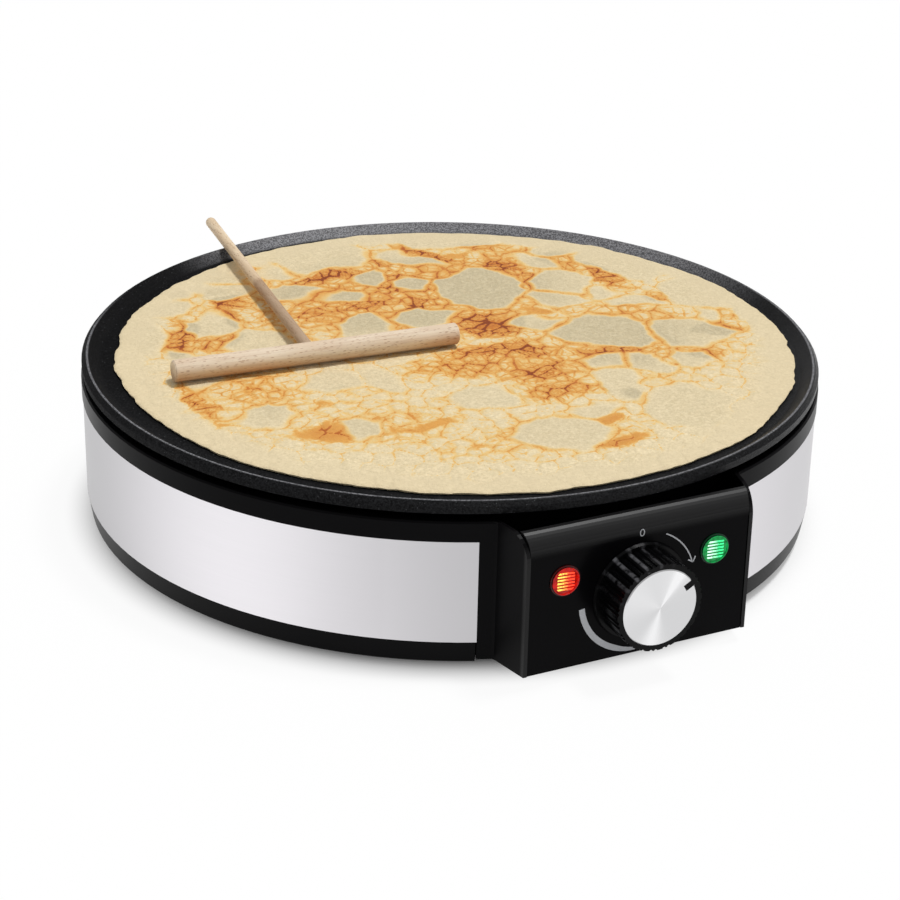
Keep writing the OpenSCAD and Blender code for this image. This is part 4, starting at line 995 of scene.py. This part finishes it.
ink = pale_ink()
ink_thick = 0.00004
ink_y = panel_low.y - ink_thick
dial_z = sum(corner.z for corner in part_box("knob_body")) / 2
dial_centre = Vector((0, ink_y, dial_z))
print("middle of the printing in mm:", [round(value * 1000, 2) for value in dial_centre])


def on_dial(radius, clockwise):
    """A point of the panel at a radius in mm and an angle in degrees clockwise from the top."""
    turn = math.radians(clockwise)
    return Vector((radius / 1000 * math.sin(turn), ink_y, dial_z + radius / 1000 * math.cos(turn)))


# %% [markdown]
# A mark is drawn as with a broad pen: its first edge stands upright where the stroke begins. For an arc it
# is extruded and turned about the dial's axis step by step; for a straight stroke it is extruded once.
# Solidify then gives the flat ribbon its thickness.

# %% Pen strokes
def ink_edge(name, width, place):
    """The first edge of a ribbon: upright, as long as the ribbon is wide, and selected."""
    ribbon = begin(name, bpy.ops.mesh.primitive_plane_add, size=width / 1000, location=place,
                   rotation=(math.radians(90), 0, 0))
    pick(ribbon, lambda point, facing: point.x > place.x, "VERT")
    bpy.ops.mesh.delete(type="VERT")
    bpy.ops.mesh.select_mode(type="EDGE")
    bpy.ops.mesh.select_all(action="SELECT")
    bpy.ops.transform.translate(value=(width / 2000, 0, 0))
    return ribbon


def turn_clockwise(degrees, centre):
    bpy.ops.transform.rotate(value=-math.radians(degrees), orient_axis="Y", center_override=centre)


def raise_ink(ribbon):
    """Gives a flat ribbon its thickness, outwards from the panel, and settles it."""
    bpy.ops.mesh.select_all(action="SELECT")
    if sum(face.normal.y for face in bmesh.from_edit_mesh(ribbon.data).faces) > 0:
        bpy.ops.mesh.flip_normals()
    bpy.ops.object.mode_set(mode="OBJECT")
    thick = ribbon.modifiers.new("thickness", "SOLIDIFY")
    thick.thickness, thick.offset = ink_thick, 1
    bpy.ops.object.modifier_apply(modifier=thick.name)
    settle(ribbon, "base", "black_panel", ink)


def ink_arc(name, stations):
    """A ribbon of ink through stations of clockwise angle, middle radius and width."""
    angle, radius, width = stations[0]
    ribbon = ink_edge(name, width, on_dial(radius, 0))
    turn_clockwise(angle, dial_centre)
    for next_angle, next_radius, next_width in stations[1:]:
        middle = on_dial(next_radius, next_angle)
        extrude(0, 0, 0)
        turn_clockwise(next_angle - angle, dial_centre)
        bpy.ops.transform.translate(value=middle - on_dial(radius, next_angle))
        bpy.ops.transform.resize(value=[next_width / width] * 3, center_override=middle)
        angle, radius, width = next_angle, next_radius, next_width
    raise_ink(ribbon)


# %% The wedge and the arrow's shaft: angle, radius and width of each station
wedge_r, wedge_width, wedge_points = 25.4, 2.5, 12
heat_wedge = [(263 - 4 * step, wedge_r, wedge_width) for step in range(16)]
heat_wedge += [(203 - 3 * step, wedge_r + 0.04 * step, wedge_width * (1 - step / wedge_points) ** 0.8)
               for step in range(1, wedge_points)]
ink_arc("ink_wedge", heat_wedge)

shaft_r, pen_width = 24.6, 0.55
arrow_shaft = [(26 + 3 * step, shaft_r, pen_width) for step in range(16)]
ink_arc("ink_arrow_shaft", arrow_shaft)


# %% The arrow's head
def ink_stroke(name, start, end, width):
    """A straight stroke of ink between two points of the panel."""
    heading = math.degrees(math.atan2(end.x - start.x, end.z - start.z))
    stroke = ink_edge(name, width, start)
    turn_clockwise(heading - 90, start)
    extrude(*(end - start))
    raise_ink(stroke)


arrow_tip = on_dial(24.9, 73)
for name, radius, angle in (("ink_arrow_barb_out", 26.6, 68.8), ("ink_arrow_barb_in", 23.2, 68.2)):
    ink_stroke(name, on_dial(radius, angle), arrow_tip, pen_width)

# %% The 0
zero_half, zero_tall, zero_pen = 0.0011, 1.45, 0.0004
zero_at = on_dial(24.8, 0)
zero = begin("ink_zero", bpy.ops.mesh.primitive_cylinder_add, vertices=40, radius=zero_half,
             depth=ink_thick, location=zero_at, rotation=(math.radians(90), 0, 0))
bpy.ops.mesh.select_all(action="SELECT")
bpy.ops.transform.resize(value=(1, 1, zero_tall), center_override=zero_at)
pick(zero, lambda place, facing: abs(facing.y) > 0.9)
bpy.ops.mesh.inset(thickness=zero_pen)
bpy.ops.mesh.bridge_edge_loops()
settle(zero, "base", "black_panel", ink)

# %% [markdown]
# ## Floor
# A wide white floor catches the soft shadow round the drum. Seen directly or in a reflection, its white is
# mostly a glow of its own, and only under the drum is it left to the light that reaches it. That keeps the
# background white up to the edge of the picture.

# %% Floor
def floor_finish():
    finish = Finish("floor", Roughness=0.9, Specular_IOR_Level=0.0)
    finish.set("Base Color", rgb(254, 254, 254))
    x, y, z = finish.parts()
    beyond_drum = ((x * x + y * y) ** 0.5).between(146, 172)
    path = finish.node("ShaderNodeLightPath")
    seen = path("Is Camera Ray").larger(path("Is Glossy Ray"))
    glow = finish.node("ShaderNodeEmission", {"Color": white, "Strength": backdrop_strength})
    blend = finish.node("ShaderNodeMixShader", {
        0: seen * beyond_drum * 0.94, 1: Socket(finish, finish.shader.outputs[0]), 2: glow("Emission")})
    surface = finish.tree.nodes["Material Output"].inputs["Surface"]
    finish.tree.links.new(blend("Shader").socket, surface)
    return finish


clear_selection()
bpy.ops.mesh.primitive_plane_add(size=30, location=(0, 0, 0))
floor = bpy.context.object
floor.name = "floor"
floor.data.materials.append(floor_finish().material)
print("still without a finish:", sorted(undressed))
